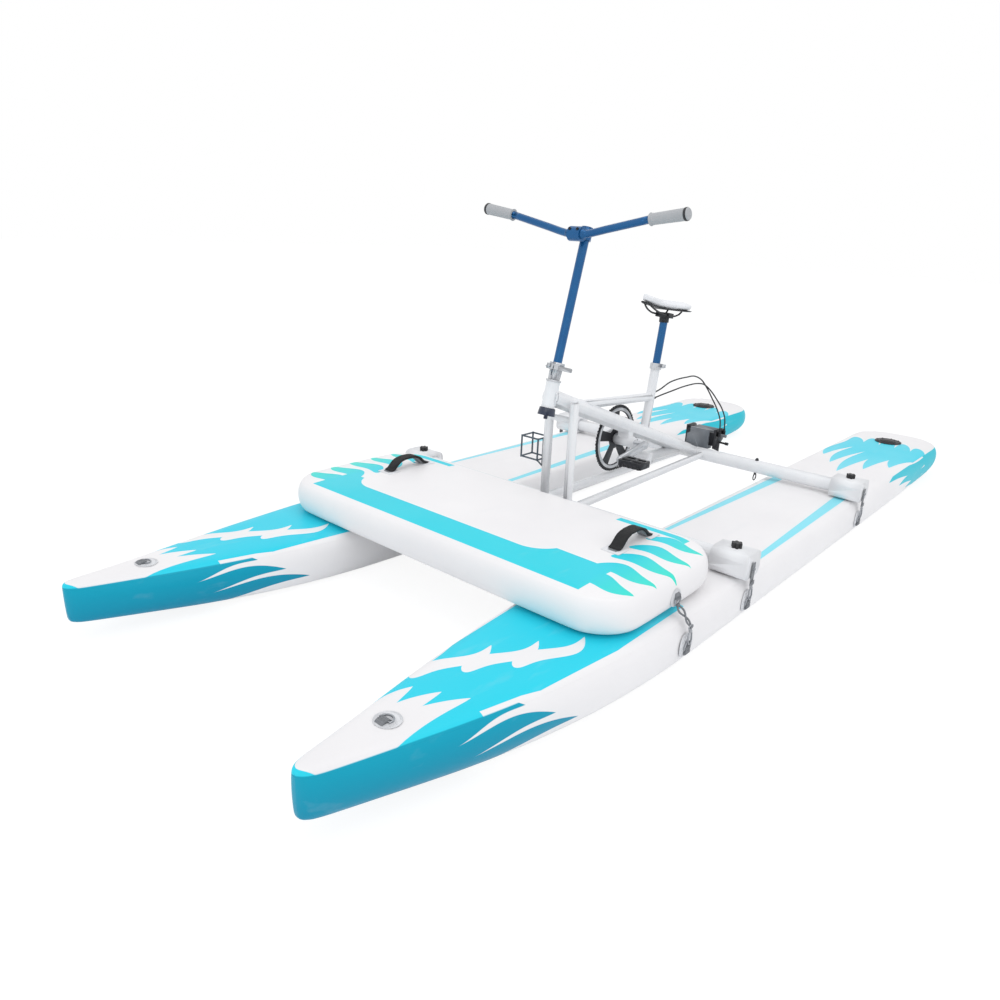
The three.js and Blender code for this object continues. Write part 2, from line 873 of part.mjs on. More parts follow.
function crossbarTool(y) {
  return rod(
    v(-crossbarLength, y, crossbarZ),
    v(crossbarLength, y, crossbarZ),
    crossbar.diameter + 2 * seatGap,
    fine,
  );
}

// Upright mounting plate behind the rear crossbar, with a web over the crossbar to the main tube.
function addRearMount() {
  const plateY = crossbar.rearY + crossbar.diameter / 2 + rearPlate.standoff + rearPlate.thickness / 2;
  const plateLow = crossbarZ - crossbar.diameter / 2;
  const plate = block(
    rearPlate.width,
    rearPlate.thickness,
    rearPlate.height,
    0,
    plateY,
    plateLow + rearPlate.height / 2,
  );
  const web = block(
    rearPlate.web,
    plateY - crossbar.rearY + crossbar.diameter,
    rearPlate.height - crossbar.diameter / 2 - rearPlate.thickness,
    0,
    (plateY + crossbar.rearY - crossbar.diameter) / 2,
    crossbarZ + (rearPlate.height - crossbar.diameter / 2 - rearPlate.thickness) / 2,
  );
  add('rear_mount', cut(union(plate, web), crossbarTool(crossbar.rearY), mainTubeTool()), 'frameWhite');
}

// Drive tube under the main tube, with the bevel box at its front end.
function addDriveTube() {
  const half = jackshaft.bossWidth / 2;
  const box = rod(jackCentre.clone().setX(-half), jackCentre.clone().setX(half), jackshaft.boss, fine);
  const end = onMain(driveTube.endY).add(v(0, 0, -driveTube.sink));
  const body = rod(jackCentre, end, driveTube.diameter, fine);
  const shaftBore = rod(
    jackCentre.clone().setX(-half - overrun),
    jackCentre.clone(),
    jackshaft.diameter + 2 * runningGap,
    medium,
  );
  add('drive_tube', cut(union(box, body), shaftBore, mainTubeTool()), 'greyCast');
}

function mainTubeTool() {
  return rod(
    mainStart.clone().addScaledVector(mainAxis, -overrun),
    mainEnd.clone().addScaledVector(mainAxis, overrun),
    mainTube.diameter + 2 * seatGap,
    fine,
  );
}

function addHeadTube() {
  const body = rod(onHead(headTubeLow), onHead(headTubeTop), head.tube, fine);
  const bore = rod(onHead(-overrun), onHead(headTubeTop + overrun), head.bore, fine);
  add('head_tube', cut(body, bore), 'frameWhite');
}

// Seat tube with its slot for the clamp.
const seatRake = seatTube.rake * degrees;
const seatAxis = v(0, Math.sin(seatRake), Math.cos(seatRake));
const seatFoot = onMain(seatTube.y);
const onSeat = (distance) => seatFoot.clone().addScaledVector(seatAxis, distance);
function addSeatTube() {
  const body = rod(onSeat(0), onSeat(seatTube.length), seatTube.diameter, fine);
  const bore = rod(onSeat(seatTube.boreFoot), onSeat(seatTube.length + overrun), seatTube.bore, fine);
  add('seat_tube', cut(body, bore, mainTubeTool()), 'frameWhite');
}

function addTopTube() {
  const start = onMain(mainStart.y + topTube.branch);
  const end = onSeat(topTube.seatHeight + mainTube.diameter / 2);
  const seatTool = rod(onSeat(0), onSeat(seatTube.length), seatTube.diameter + 2 * seatGap, fine);
  add('top_tube', cut(rod(start, end, topTube.diameter, medium), mainTubeTool(), seatTool), 'frameWhite');
}

// Front legs: two uprights on the front crossbar, joined by a brace under the main tube.
function addLegs() {
  const x = leg.spacing / 2;
  const y = crossbar.frontY;
  const top = crossbarZ + leg.height;
  const uprights = [-1, 1].map((sign) => rod(
    v(sign * x, y, crossbarZ),
    v(sign * x, y, top),
    leg.diameter,
    medium,
  ));
  const capX = x - leg.capLean;
  const capZ = top + leg.capHeight;
  const caps = [-1, 1].map((sign) => rod(
    v(sign * x, y, top),
    v(sign * capX, y, capZ),
    leg.diameter,
    medium,
    leg.capTop,
  ));
  const brace = rod(v(-x, y, top - leg.braceDrop), v(x, y, top - leg.braceDrop), leg.brace, coarse);
  const frame = union(...uprights, ...caps, brace);
  add('front_legs', cut(frame, crossbarTool(y), mainTubeTool()), 'frameWhite');
}

// Lower rails between the crossbars.
function addRail(side, sign) {
  const start = v(sign * (rail.frontSpacing / 2), crossbar.frontY, crossbarZ);
  const end = v(sign * (rail.rearSpacing / 2), crossbar.rearY, crossbarZ);
  const tools = [crossbar.frontY, crossbar.rearY].map((y) => crossbarTool(y));
  const body = rod(start, end, rail.diameter, medium);
  add(`lower_rail_${side}`, cut(body, ...tools, mainTubeTool()), 'frameWhite');
}

// Steering column: cup, steerer with its clamp collar, and the lever.
function addHeadset() {
  const half = head.lowerCupHeight / 2;
  const cup = rod(onHead(-half), onHead(half), head.lowerCup, fine, head.lowerCupTop);
  const steerer = rod(onHead(-half), onHead(collarLow - seatGap), head.steerer, fine);
  const crownBolt = rod(onHead(-half - head.crownBoltHeight), onHead(-half), head.crownBolt, small);
  const stemBore = stem.diameter + 2 * runningGap;
  const bore = rod(onHead(half), onHead(collarLow + overrun), stemBore, fine);
  add('steerer_crown', cut(union(cup, steerer, crownBolt), bore), 'navy');
  addStemClamp(stemBore);
}

// A clamp's two ears on one side of its band, its bolt, and the slit that lets it close.
function clampParts(place, lean, side, diameter, earHeight, slitHeight, slitRise) {
  const turn = (solid, at) => solid.rotate([-lean, 0, 0]).translate(at.toArray());
  const ears = turn(block(lever.ears, diameter / 2, earHeight, 0, 0, 0), place);
  const boltPlace = place.clone().add(v(0, (side * diameter) / 8, 0));
  const bolt = rod(
    boltPlace.clone().setX(-lever.ears / 2 - lever.bolt),
    boltPlace.clone().setX(lever.ears / 2 - lever.boltSink),
    lever.bolt,
    small,
  );
  const slitPlace = place.clone().add(v(0, side * clampSlit.setback, slitRise));
  const slit = turn(block(clampSlit.width, diameter, slitHeight, 0, 0, 0), slitPlace);
  return { ears, bolt, slit };
}

function addStemClamp(stemBore) {
  const ringBore = rod(onHead(headTubeTop), onHead(collarLow), head.steerer + 2 * seatGap, fine);
  const ringBody = rod(onHead(headTubeTop + seatGap), onHead(collarLow + 2 * seatGap), head.upperRing, fine);
  const ring = cut(ringBody, ringBore);
  const collarTop = collarLow + head.collarHeight;
  const barrel = rod(onHead(collarLow + seatGap), onHead(collarTop), head.collarFoot, medium, head.collar);
  const band = rod(onHead(bandLow), onHead(bandLow + head.clampBandHeight), head.clampBand, medium);
  const place = onHead(bandLow + head.clampBandHeight / 2).add(v(0, -head.clampBand / 2, 0));
  const { ears, bolt, slit } = clampParts(
    place,
    head.rake,
    -1,
    head.clampBand,
    head.clampBandHeight,
    clampSlit.depth,
    -head.clampBandHeight / 4,
  );
  const inner = rod(onHead(collarLow - overrun), onHead(collarTop + overrun), stemBore, fine);
  const body = cut(union(barrel, ring, band, ears), inner, slit);
  add('stem_clamp_collar', union(body, bolt), 'greyCast');
}

// A cam lever: it swings on an upright cam at the end of the clamp's bolt.
function leverSolid() {
  const cam = rod(v(0, 0, -lever.width / 2), v(0, 0, lever.width / 2), lever.cam, coarse);
  const arm = slab(roundedRectangle(lever.length, lever.width, lever.width / 3), lever.thickness)
    .rotate([90, 0, 0])
    .translate([lever.length / 2, 0, 0]);
  return union(cam, arm);
}

// Stem tube, bar clamp, handlebar and grips.
const barCentre = onHead(stemTop + stem.clampHeight / 2).add(v(0, -stem.clampAhead, 0));
function addStem() {
  const low = collarLow + head.collarHeight - stem.insert;
  const body = tube(onHead(low), onHead(stemTop), stem.diameter, stem.bore, fine);
  add('stem_tube', body, 'blueAnodised');
  const collar = rod(onHead(stemTop + seatGap), onHead(stemTop + stem.clampHeight), stem.clampCollar, fine);
  const bridgeStart = onHead(stemTop + stem.clampHeight / 2);
  const bridge = rod(bridgeStart, barCentre, stem.bridge, medium, stem.bridgeEnd);
  const half = stem.clampWidth / 2;
  const jaw = rod(barCentre.clone().setX(-half), barCentre.clone().setX(half), stem.clampBody, fine);
  const seat = rod(
    barCentre.clone().setX(-half - overrun),
    barCentre.clone().setX(half + overrun),
    bar.clampDiameter + 2 * seatGap,
    fine,
  );
  const split = block(
    stem.clampWidth * 2,
    stem.split,
    stem.clampBody,
    barCentre.x,
    barCentre.y - bar.clampDiameter / 4,
    barCentre.z + stem.clampBody / 2 + bar.clampDiameter / 4,
  );
  const stemTool = rod(onHead(low), onHead(stemTop + seatGap), stem.diameter + 2 * seatGap, fine);
  add('bar_clamp', cut(union(collar, bridge, jaw), seat, stemTool, split), 'blueAnodised');
}

function barPoints() {
  const half = bar.span / 2;
  const side = [
    v(bar.flat / 2, 0, 0),
    v(bar.kneeX, 0, bar.kneeRise),
    v((bar.kneeX + half - grip.length) / 2, 0, (bar.kneeRise + bar.gripRise) / 2),
    v(half - grip.length, 0, bar.gripRise),
    v(half, 0, bar.rise),
  ];
  const left = side.map((p) => v(-p.x, p.y, p.z)).reverse();
  return [...left, ...side];
}

function addBar() {
  const points = barPoints();
  const ends = [[points[0], points[1]], [points[points.length - 1], points[points.length - 2]]];
  const straights = ends.map(([outer, inner]) => rod(inner, outer, bar.diameter, coarse));
  const body = union(bentRod(points.slice(1, -1), bar.diameter, bar.steps, coarse), ...straights);
  const sleeve = rod(v(-bar.flat / 2, 0, 0), v(bar.flat / 2, 0, 0), bar.clampDiameter, fine);
  add('handlebar', union(body, sleeve).translate(barCentre.toArray()), 'blueAnodised');
}

function addGrip(side, sign) {
  const points = barPoints();
  const outer = points[points.length - 1];
  const inner = points[points.length - 2];
  const along = outer.clone().sub(inner).normalize();
  const length = grip.length - grip.shortBy;
  const boreRadius = bar.diameter / 2 + 2 * seatGap;
  const profile = [new THREE.Vector2(boreRadius, 0)];
  const steps = gripRibs * 2;
  for (let i = 0; i <= steps; i += 1) {
    const share = i / steps;
    const radius = (grip.diameter + (grip.endDiameter - grip.diameter) * share) / 2;
    profile.push(new THREE.Vector2(radius - (i % 2) * grip.ribDepth, share * length));
  }
  const capTop = length + grip.cap;
  const capFloor = capTop - grip.capWall;
  profile.push(new THREE.Vector2(grip.endDiameter / 2 - grip.capRound, capTop));
  profile.push(new THREE.Vector2(0, capTop));
  profile.push(new THREE.Vector2(0, capFloor));
  profile.push(new THREE.Vector2(boreRadius, capFloor));
  profile.push(profile[0].clone());
  const geometry = new THREE.LatheGeometry(profile, coarse);
  geometry.applyQuaternion(new THREE.Quaternion().setFromUnitVectors(up, along));
  const start = outer.clone().addScaledVector(along, -length - grip.proud);
  geometry.translate(start.x, start.y, start.z);
  const bored = cut(toSolid(geometry), rod(inner, outer, bar.diameter + 2 * seatGap, coarse));
  const placed = (sign > 0 ? bored : bored.mirror([1, 0, 0])).translate(barCentre.toArray());
  add(`grip_${side}`, placed, 'rubberWhite');
}

// Seat post, clamp and saddle.
const postTop = onSeat(seatTube.length + seatPost.reach);
function addSeatPost() {
  const low = onSeat(seatTube.length - seatPost.insert);
  add('seat_post', rod(low, postTop, seatPost.diameter, fine), 'blueAnodised');
  const bandStart = onSeat(seatTube.length - seatCollar.height / 2);
  const bandEnd = onSeat(seatTube.length + seatCollar.height / 2);
  const band = rod(bandStart, bandEnd, seatCollar.diameter, fine);
  const { ears, bolt, slit } = clampParts(
    onSeat(seatTube.length).add(v(0, seatCollar.diameter / 2, 0)),
    seatTube.rake,
    1,
    seatCollar.diameter,
    seatCollar.ears,
    seatCollar.height * 2,
    0,
  );
  const lowBore = rod(
    bandStart.clone().addScaledVector(seatAxis, -overrun),
    onSeat(seatTube.length + seatGap),
    seatTube.diameter + 2 * seatGap,
    fine,
  );
  const topBore = rod(
    onSeat(seatTube.length - overrun),
    bandEnd.clone().addScaledVector(seatAxis, overrun),
    seatPost.diameter + 2 * runningGap,
    fine,
  );
  add('seat_clamp_collar', union(cut(union(band, ears), lowBore, topBore, slit), bolt), 'steel');
}

// Saddle half-width from nose to tail.
function saddleHalfWidth(share) {
  const nose = saddle.noseWidth / 2;
  const wing = saddle.width / 2;
  const spread = Math.min(1, Math.max(0, share - flareStartShare) / flareRunShare);
  const flare = Math.sin((Math.PI / 2) * spread) ** 2;
  const ahead = Math.max(0, (noseRoundShare - share) / noseRoundShare);
  const behind = Math.max(0, (share - 1 + tailRoundShare) / tailRoundShare);
  const noseRound = Math.max(noseWidthShare, Math.sqrt(Math.max(0, 1 - ahead ** 2)));
  const tailRound = Math.sqrt(Math.max(tailFloorShare, 1 - behind ** 2));
  return (nose + (wing - nose) * flare) * noseRound * (tailWidthShare + (1 - tailWidthShare) * tailRound);
}

function saddleRing(share, thickness, inset, lift) {
  const half = saddleHalfWidth(share) - inset;
  const y = saddle.length * (share - 0.5);
  const ring = [];
  const steps = saddleRingSteps;
  const crownHeight = Math.min(saddle.crown, thickness * thinCrownShare);
  const dip = Math.sin(Math.PI * share) * saddle.crown * dipShare;
  const kick = Math.max(0, share - kickStartShare) * saddle.crown * kickShare;
  for (let i = 0; i <= steps; i += 1) {
    const angle = Math.PI * (i / steps);
    const fall = crownHeight * (1 - Math.sin(angle));
    ring.push(v(half * Math.cos(angle), y, lift + thickness - fall - dip + kick));
  }
  for (let i = steps; i >= 0; i -= 2) {
    ring.push(v(half * Math.cos(Math.PI * (i / steps)) * undersideShare, y, lift - dip + kick));
  }
  return ring.reverse();
}

function saddleSkin(thickness, inset, lift) {
  const rings = [];
  for (let i = 0; i < saddleStations; i += 1) {
    const share = saddleEndShare + ((1 - 2 * saddleEndShare) * i) / (saddleStations - 1);
    rings.push(saddleRing(share, thickness, inset, lift));
  }
  return loft(rings);
}

function addSaddle() {
  const tilt = -saddle.tilt;
  const place = postTop.clone().add(v(0, 0, saddle.clampHeight));
  const shell = saddleSkin(saddle.shell, saddle.inset, 0);
  const railTop = saddle.shell / 3;
  const shellRails = [-1, 1].map((sign) => bentRod(railPath.map((point) => v(
    sign * point.out,
    saddle.length * point.alongShare,
    railTop - (saddle.railDrop + railTop) * point.dropShare,
  )), saddle.railWire, railSteps, coarse));
  const lift = saddle.railDrop - saddle.clampHeight / 2;
  const turned = (solid) => solid
    .translate([0, saddle.ahead, lift])
    .rotate([tilt, 0, 0])
    .translate(place.toArray());
  add('saddle_shell', turned(union(shell, ...shellRails)), 'black');
  const cushion = saddleSkin(saddle.thickness - saddle.shell, 0, saddle.shell + seatGap);
  add('saddle_cushion', turned(cushion), 'padWhite');
  const railTools = [-1, 1].map((sign) => rod(
    v(sign * railHalf, -saddle.clampLength, 0),
    v(sign * railHalf, saddle.clampLength, 0),
    saddle.railWire + saddle.railSlack,
    coarse,
  ));
  const jaw = block(saddle.jawWidth, saddle.jawDepth, saddle.jawHeight, 0, 0, 0);
  const grooves = cut(jaw, ...railTools);
  const clampPlace = (solid) => solid
    .translate([0, 0, lift - saddle.railDrop])
    .rotate([tilt, 0, 0])
    .translate(place.toArray());
  const footStart = postTop.clone().addScaledVector(seatAxis, seatGap - saddle.footLength);
  const foot = rod(footStart, place, saddle.foot, medium);
  const postTool = rod(
    onSeat(seatTube.length),
    postTop.clone().addScaledVector(seatAxis, seatGap),
    seatPost.diameter + 2 * seatGap,
    fine,
  );
  const trough = clampPlace(block(
    saddle.width,
    saddle.clampLength * 2,
    saddle.clampHeight * 2,
    0,
    0,
    saddle.clampHeight - saddle.railWire / 2 - saddle.railSlack / 2,
  ));
  add('saddle_clamp', union(clampPlace(grooves), cut(foot, postTool, trough)), 'black');
}

// Crank set and pedals.
const crankReach = spindle.length / 2;
function crankTip(sign) {
  const angle = crank.droop * degrees;
  const direction = v(0, -Math.cos(angle), -Math.sin(angle)).multiplyScalar(sign * crank.length);
  return bracketCentre.clone().add(direction);
}

function addCrank(side, sign) {
  const tip = crankTip(sign);
  const inner = sign * (crankReach - crank.thickness);
  const outer = sign * crankReach;
  const root = rod(bracketCentre.clone().setX(inner), bracketCentre.clone().setX(outer), crank.width, medium);
  const stepX = inner + sign * crank.step;
  const end = rod(tip.clone().setX(stepX), tip.clone().setX(outer), crank.tipWidth, medium);
  const outline = [
    [0, -crank.width / 2], [crank.length, -crank.tipWidth / 2],
    [crank.length, crank.tipWidth / 2], [0, crank.width / 2],
  ].map(([x, y]) => new THREE.Vector2(x, y));
  const waist = [
    [crank.length * grooveStartShare, -crank.width * grooveRootShare],
    [crank.length * grooveEndShare, -crank.tipWidth * grooveTipShare],
    [crank.length * grooveEndShare, crank.tipWidth * grooveTipShare],
    [crank.length * grooveStartShare, crank.width * grooveRootShare],
  ].map(([x, y]) => new THREE.Vector2(x, y));
  const thickness = crank.thickness - crank.relief;
  const facing = sign > 0 ? 180 + crank.droop : crank.droop;
  const lay = (solid, x) => solid
    .rotate([90, 0, 90])
    .rotate([facing, 0, 0])
    .translate([x, bracketCentre.y, bracketCentre.z]);
  const arm = lay(slab(outline, thickness), (inner + outer) / 2 + sign);
  const groove = lay(slab(waist, thickness / 2), outer);
  const bolt = rod(
    bracketCentre.clone().setX(outer - sign),
    bracketCentre.clone().setX(outer + sign * crank.boltHeight),
    crank.bolt,
    small,
  );
  const axleEnd = outer + sign * (pedal.gap + pedal.width - pedal.bar);
  const axle = rod(tip.clone().setX(inner), tip.clone().setX(axleEnd), pedal.axle, coarse);
  const far = crankReach - crank.thickness - seatGap;
  const shaft = rod(
    bracketCentre.clone().setX(-far - overrun),
    bracketCentre.clone().setX(far),
    spindle.diameter,
    medium,
  );
  const parts = [cut(union(root, end, arm), groove), bolt, axle];
  add(`crank_${side}`, union(...parts, ...(sign < 0 ? [shaft] : [])), 'alloy');
}

// Cage pedal: a hub on the axle, two plates with a toothed edge, and end bars.
function pedalSolid() {
  const half = pedal.length / 2;
  const outline = [];
  for (let i = 0; i <= pedalTeeth; i += 1) {
    const x = pedal.bar + (pedal.width - 2 * pedal.bar) * (i / pedalTeeth);
    outline.push(new THREE.Vector2(x, -half + (i % 2) * pedal.tooth));
  }
  outline.push(new THREE.Vector2(pedal.width, -half + pedal.bar));
  outline.push(new THREE.Vector2(pedal.width, half - pedal.bar));
  for (let i = pedalTeeth; i >= 0; i -= 1) {
    const x = pedal.bar + (pedal.width - 2 * pedal.bar) * (i / pedalTeeth);
    outline.push(new THREE.Vector2(x, half - (i % 2) * pedal.tooth));
  }
  outline.push(new THREE.Vector2(0, half - pedal.bar));
  outline.push(new THREE.Vector2(0, -half + pedal.bar));
  const windowWidth = (pedal.width - 3 * pedal.bar) / 2;
  const windowLow = pedal.hub / 2 - pedal.hubOverlap;
  const windowDepth = half - pedal.bar - pedal.tooth - windowLow;
  const windows = [-1, 1].flatMap((row) => [0, 1].map((column) => block(
    windowWidth,
    windowDepth,
    pedal.height * 2,
    pedal.bar + windowWidth / 2 + column * (windowWidth + pedal.bar),
    row * (windowLow + windowDepth / 2),
    0,
  )));
  const body = cut(slab(outline, pedal.height), ...windows);
  const hub = rod(v(0, 0, 0), v(pedal.width, 0, 0), pedal.hub, medium);
  const boreEnd = pedal.width - pedal.bar / 2;
  const bore = rod(v(-overrun, 0, 0), v(boreEnd, 0, 0), pedal.axle + 2 * runningGap, medium);
  return cut(union(body, hub), bore);
}

function addPedal(side, sign) {
  const tip = crankTip(sign);
  const solid = sign > 0 ? pedalSolid() : pedalSolid().mirror([1, 0, 0]);
  const place = tip.clone().setX(sign * (crankReach + pedal.gap));
  add(`pedal_${side}`, solid.translate(place.toArray()), 'steel');
}

// Toothed outline for a chain of round pins.
function toothedOutline(teeth, start) {
  const radius = pitchRadius(teeth);
  const root = chain.pin / 2 + seatGap;
  const step = (2 * Math.PI) / teeth;
  const points = [];
  for (let i = 0; i < teeth; i += 1) {
    const centre = start + i * step;
    const side = step * wheel.rootShare;
    const polar = (angle, r) => points.push(new THREE.Vector2(r * Math.cos(angle), r * Math.sin(angle)));
    polar(centre - side, radius - root);
    polar(centre + side, radius - root);
    polar(centre + step / 2, radius + wheel.toothHeight);
  }
  return points;
}

// The chain's path: pins on the wheel, along both straight runs, and round the sprocket.
const chainLean = Math.asin((wheelRadius - sprocketRadius) / sprocketDistance);
const chainHeading = Math.atan2(jackCentre.z - bracketCentre.z, jackCentre.y - bracketCentre.y);
function chainPoint(distance) {
  const arcStep = (2 * Math.PI) / chain.wheelTeeth / chain.pitch;
  const sprocketStep = (2 * Math.PI) / chain.sprocketTeeth / chain.pitch;
  const straight = sprocketDistance * Math.cos(chainLean);
  const wheelPart = (Math.PI + 2 * chainLean) / arcStep;
  const sprocketPart = (Math.PI - 2 * chainLean) / sprocketStep;
  const rim = Math.PI / 2 - chainLean;
  const at = (x, y, r, angle) => new THREE.Vector2(x + r * Math.cos(angle), y + r * Math.sin(angle));
  if (distance < wheelPart) {
    return at(0, 0, wheelRadius, rim + distance * arcStep);
  }
  const lowStart = at(0, 0, wheelRadius, -rim);
  const lowEnd = at(sprocketDistance, 0, sprocketRadius, -rim);
  if (distance < wheelPart + straight) {
    return lowStart.lerp(lowEnd, (distance - wheelPart) / straight);
  }
  if (distance < wheelPart + straight + sprocketPart) {
    return at(sprocketDistance, 0, sprocketRadius, -rim + (distance - wheelPart - straight) * sprocketStep);
  }
  const highStart = at(sprocketDistance, 0, sprocketRadius, rim);
  const highEnd = at(0, 0, wheelRadius, rim);
  return highStart.lerp(highEnd, (distance - wheelPart - straight - sprocketPart) / straight);
}

// Only where no tooth turns past does a pin run right across; elsewhere its two heads show.
function clearOfTeeth(pin) {
  const reach = wheel.toothHeight + chain.pin / 2 + runningGap;
  return Math.hypot(pin.x, pin.y) > wheelRadius + reach
    && Math.hypot(pin.x - sprocketDistance, pin.y) > sprocketRadius + reach;
}

function intoChainPlane(solid, x) {
  return solid
    .rotate([90, 0, 90])
    .rotate([chainHeading / degrees, 0, 0])
    .translate([x, bracketCentre.y, bracketCentre.z]);
}

function addChain() {
  const pins = [];
  for (let i = 0; i < chain.links; i += 1) {
    pins.push(chainPoint((i + 0.5) * chain.pitch));
  }
  const plateAt = chain.innerWidth / 2 + chain.plateThickness / 2;
  const edge = (sign) => {
    const points = [];
    pins.forEach((pin, i) => {
      const next = pins[(i + 1) % pins.length];
      const before = pins[(i + pins.length - 1) % pins.length];
      const tangent = next.clone().sub(before).normalize();
      const normal = new THREE.Vector2(tangent.y, -tangent.x);
      points.push(pin.clone().addScaledVector(normal, (sign * chain.plateHeight) / 2));
    });
    return points;
  };
  const plates = [-1, 1].map((sign) => slab(edge(1), chain.plateThickness, [edge(-1).reverse()])
    .translate([0, 0, sign * plateAt]));
  const rivets = pins.filter((pin, i) => i % chainPinEvery === 0);
  const faceAt = plateAt + chain.plateThickness / 2 + chain.rivetHead;
  const pinSolids = rivets.flatMap((pin) => {
    const across = (low, high) => rod(v(pin.x, pin.y, low), v(pin.x, pin.y, high), chain.pin, chainPinSides);
    if (clearOfTeeth(pin)) {
      return [across(-faceAt, faceAt)];
    }
    return [across(-faceAt, -plateAt), across(plateAt, faceAt)];
  });
  const loop = pinSolids.reduce((sum, pin) => sum.add(pin), union(...plates));
  add('drive_chain', intoChainPlane(loop, -chain.planeX), 'black');
}

const wheelStart = Math.PI / 2 - chainLean + Math.PI / chain.wheelTeeth;
function addChainwheel() {
  const windows = [];
  for (let i = 0; i < wheelWindows; i += 1) {
    const centre = (2 * Math.PI * (i + windowStartShare)) / wheelWindows;
    const half = Math.PI / wheelWindows - wheel.spoke;
    const outer = windowRimShares.map((share) => [centre + half * share, wheel.windowOuter]);
    const inner = windowHubShares.map((share) => [centre + half * share, wheel.windowInner]);
    const points = [...outer, ...inner].map(([angle, r]) =>
      new THREE.Vector2(r * Math.cos(angle), r * Math.sin(angle)));
    windows.push(slab(points, wheel.thickness * 2));
  }
  const disc = cut(slab(toothedOutline(chain.wheelTeeth, wheelStart), wheel.thickness), ...windows);
  const hubHalf = wheel.hubWidth / 2;
  const hub = rod(v(0, 0, -hubHalf), v(0, 0, wheel.thickness / 2), wheel.hub, fine);
  const bore = rod(
    v(0, 0, -hubHalf - overrun),
    v(0, 0, hubHalf + overrun),
    spindle.diameter + 2 * runningGap,
    medium,
  );
  add('chainwheel', intoChainPlane(cut(union(disc, hub), bore), -chain.planeX), 'black');
  const guardX = -chain.planeX + wheel.thickness / 2 + seatGap + wheel.guardThickness / 2;
  const guard = slab(
    circlePoints(0, 0, wheel.guardOuter / 2, fine * 2),
    wheel.guardThickness,
    [circlePoints(0, 0, wheel.guardInner / 2, fine * 2).reverse()],
  );
  add('chain_guard_ring', intoChainPlane(guard, guardX), 'alloy');
}

function addJackshaft() {
  const straight = sprocketDistance * Math.cos(chainLean);
  const wheelPart = ((Math.PI + 2 * chainLean) * chain.wheelTeeth * chain.pitch) / (2 * Math.PI);
  const first = Math.ceil((wheelPart + straight) / chain.pitch - 0.5) + 0.5;
  const perPitch = (2 * Math.PI) / chain.sprocketTeeth / chain.pitch;
  const offset = (first * chain.pitch - wheelPart - straight) * perPitch;
  const start = -(Math.PI / 2 - chainLean) + offset;
  const disc = slab(toothedOutline(chain.sprocketTeeth, start), wheel.thickness);
  const hub = rod(v(0, 0, -jackshaft.cap / 2), v(0, 0, wheel.thickness / 2), jackshaft.flange, medium);
  const turned = intoChainPlane(union(disc, hub).translate([sprocketDistance, 0, 0]), -chain.planeX);
  const shaft = rod(
    jackCentre.clone().setX(-chain.planeX),
    jackCentre.clone().setX(-overrun),
    jackshaft.diameter,
    medium,
  );
  add('jackshaft_sprocket', union(turned, shaft), 'greyCast');
}

// Rear drive head.
const plateBack = crossbar.rearY + crossbar.diameter / 2 + rearPlate.standoff + rearPlate.thickness;
const tiltCentre = v(0, plateBack + tiltAxis.behind, crossbarZ + tiltAxis.height);
function addTiltBracket() {
  const inner = cheek.spacing / 2;
  const outline = [];
  const backY = -tiltAxis.behind + seatGap;
  outline.push(new THREE.Vector2(backY, -cheek.lowBack));
  outline.push(new THREE.Vector2(0, -cheek.low));
  for (let i = 0; i <= cheekSteps; i += 1) {
    const angle = -Math.PI / 2 + (Math.PI * i) / cheekSteps;
    outline.push(new THREE.Vector2(cheek.nose * Math.cos(angle), cheek.nose * Math.sin(angle)));
  }
  outline.push(new THREE.Vector2(backY, cheek.nose));
  const side = () => slab(outline, cheek.thickness).rotate([90, 0, 90]);
  const cheeks = [-1, 1].map((sign) => side().translate([sign * (inner + cheek.thickness / 2), 0, 0]));
  const backWidth = cheek.spacing + 2 * cheek.thickness;
  const back = block(
    backWidth,
    cheek.thickness,
    cheek.back,
    0,
    backY + cheek.thickness / 2,
    -cheek.backDrop,
  );
  const hole = rod(v(-backWidth, 0, 0), v(backWidth, 0, 0), tiltBlock.pin + 2 * runningGap, medium);
  const outer = inner + cheek.thickness;
  const lockEnd = outer + lockPin.length;
  const lockShank = rod(
    v(outer - cheek.thickness / 2, 0, -lockPin.below),
    v(lockEnd, 0, -lockPin.below),
    lockPin.diameter,
    coarse,
  );
  const lockKnob = rod(
    v(lockEnd - lockPin.ball, 0, -lockPin.below),
    v(lockEnd, 0, -lockPin.below),
    lockPin.ball,
    coarse,
  );
  const stopX = outer + cable.stop / 2 - cable.stopSink;
  const stopYs = [0, 1].map((i) => i * cable.stopStep - cable.stopAhead);
  const stops = stopYs.map((y) => rod(v(stopX, y, 0), v(stopX, y, cable.stopHeight), cable.stop, coarse));
  const stopBores = stopYs.map((y) => rod(
    v(stopX, y, cable.stopHeight - cable.stopSocket),
    v(stopX, y, cable.stopHeight + overrun),
    cable.ferrule + 2 * runningGap,
    coarse,
  ));
  const solid = cut(union(...cheeks, back, ...stops, lockShank, lockKnob), hole, ...stopBores);
  add('tilt_bracket', solid.translate(tiltCentre.toArray()), 'black');
}

function addTiltBlock() {
  const body = block(tiltBlock.width, tiltBlock.depth, tiltBlock.height, 0, 0, 0);
  const barrel = rod(v(-tiltBlock.width, 0, 0), v(tiltBlock.width, 0, 0), tiltBlock.round, fine);
  const shaved = body.intersect(barrel);
  const reach = cheek.spacing / 2 + cheek.thickness + tiltBlock.pinReach;
  const pin = rod(v(-reach + tiltBlock.pinShort, 0, 0), v(reach, 0, 0), tiltBlock.pin, medium);
  const kingpinLow = -tiltBlock.height / 2 - seatGap - gearHead.height / 2;
  const kingpin = rod(v(0, 0, kingpinLow), v(0, 0, 0), gearHead.kingpin, medium);
  add('tilt_block', union(shaved, pin, kingpin).translate(tiltCentre.toArray()), 'greyCast');
}

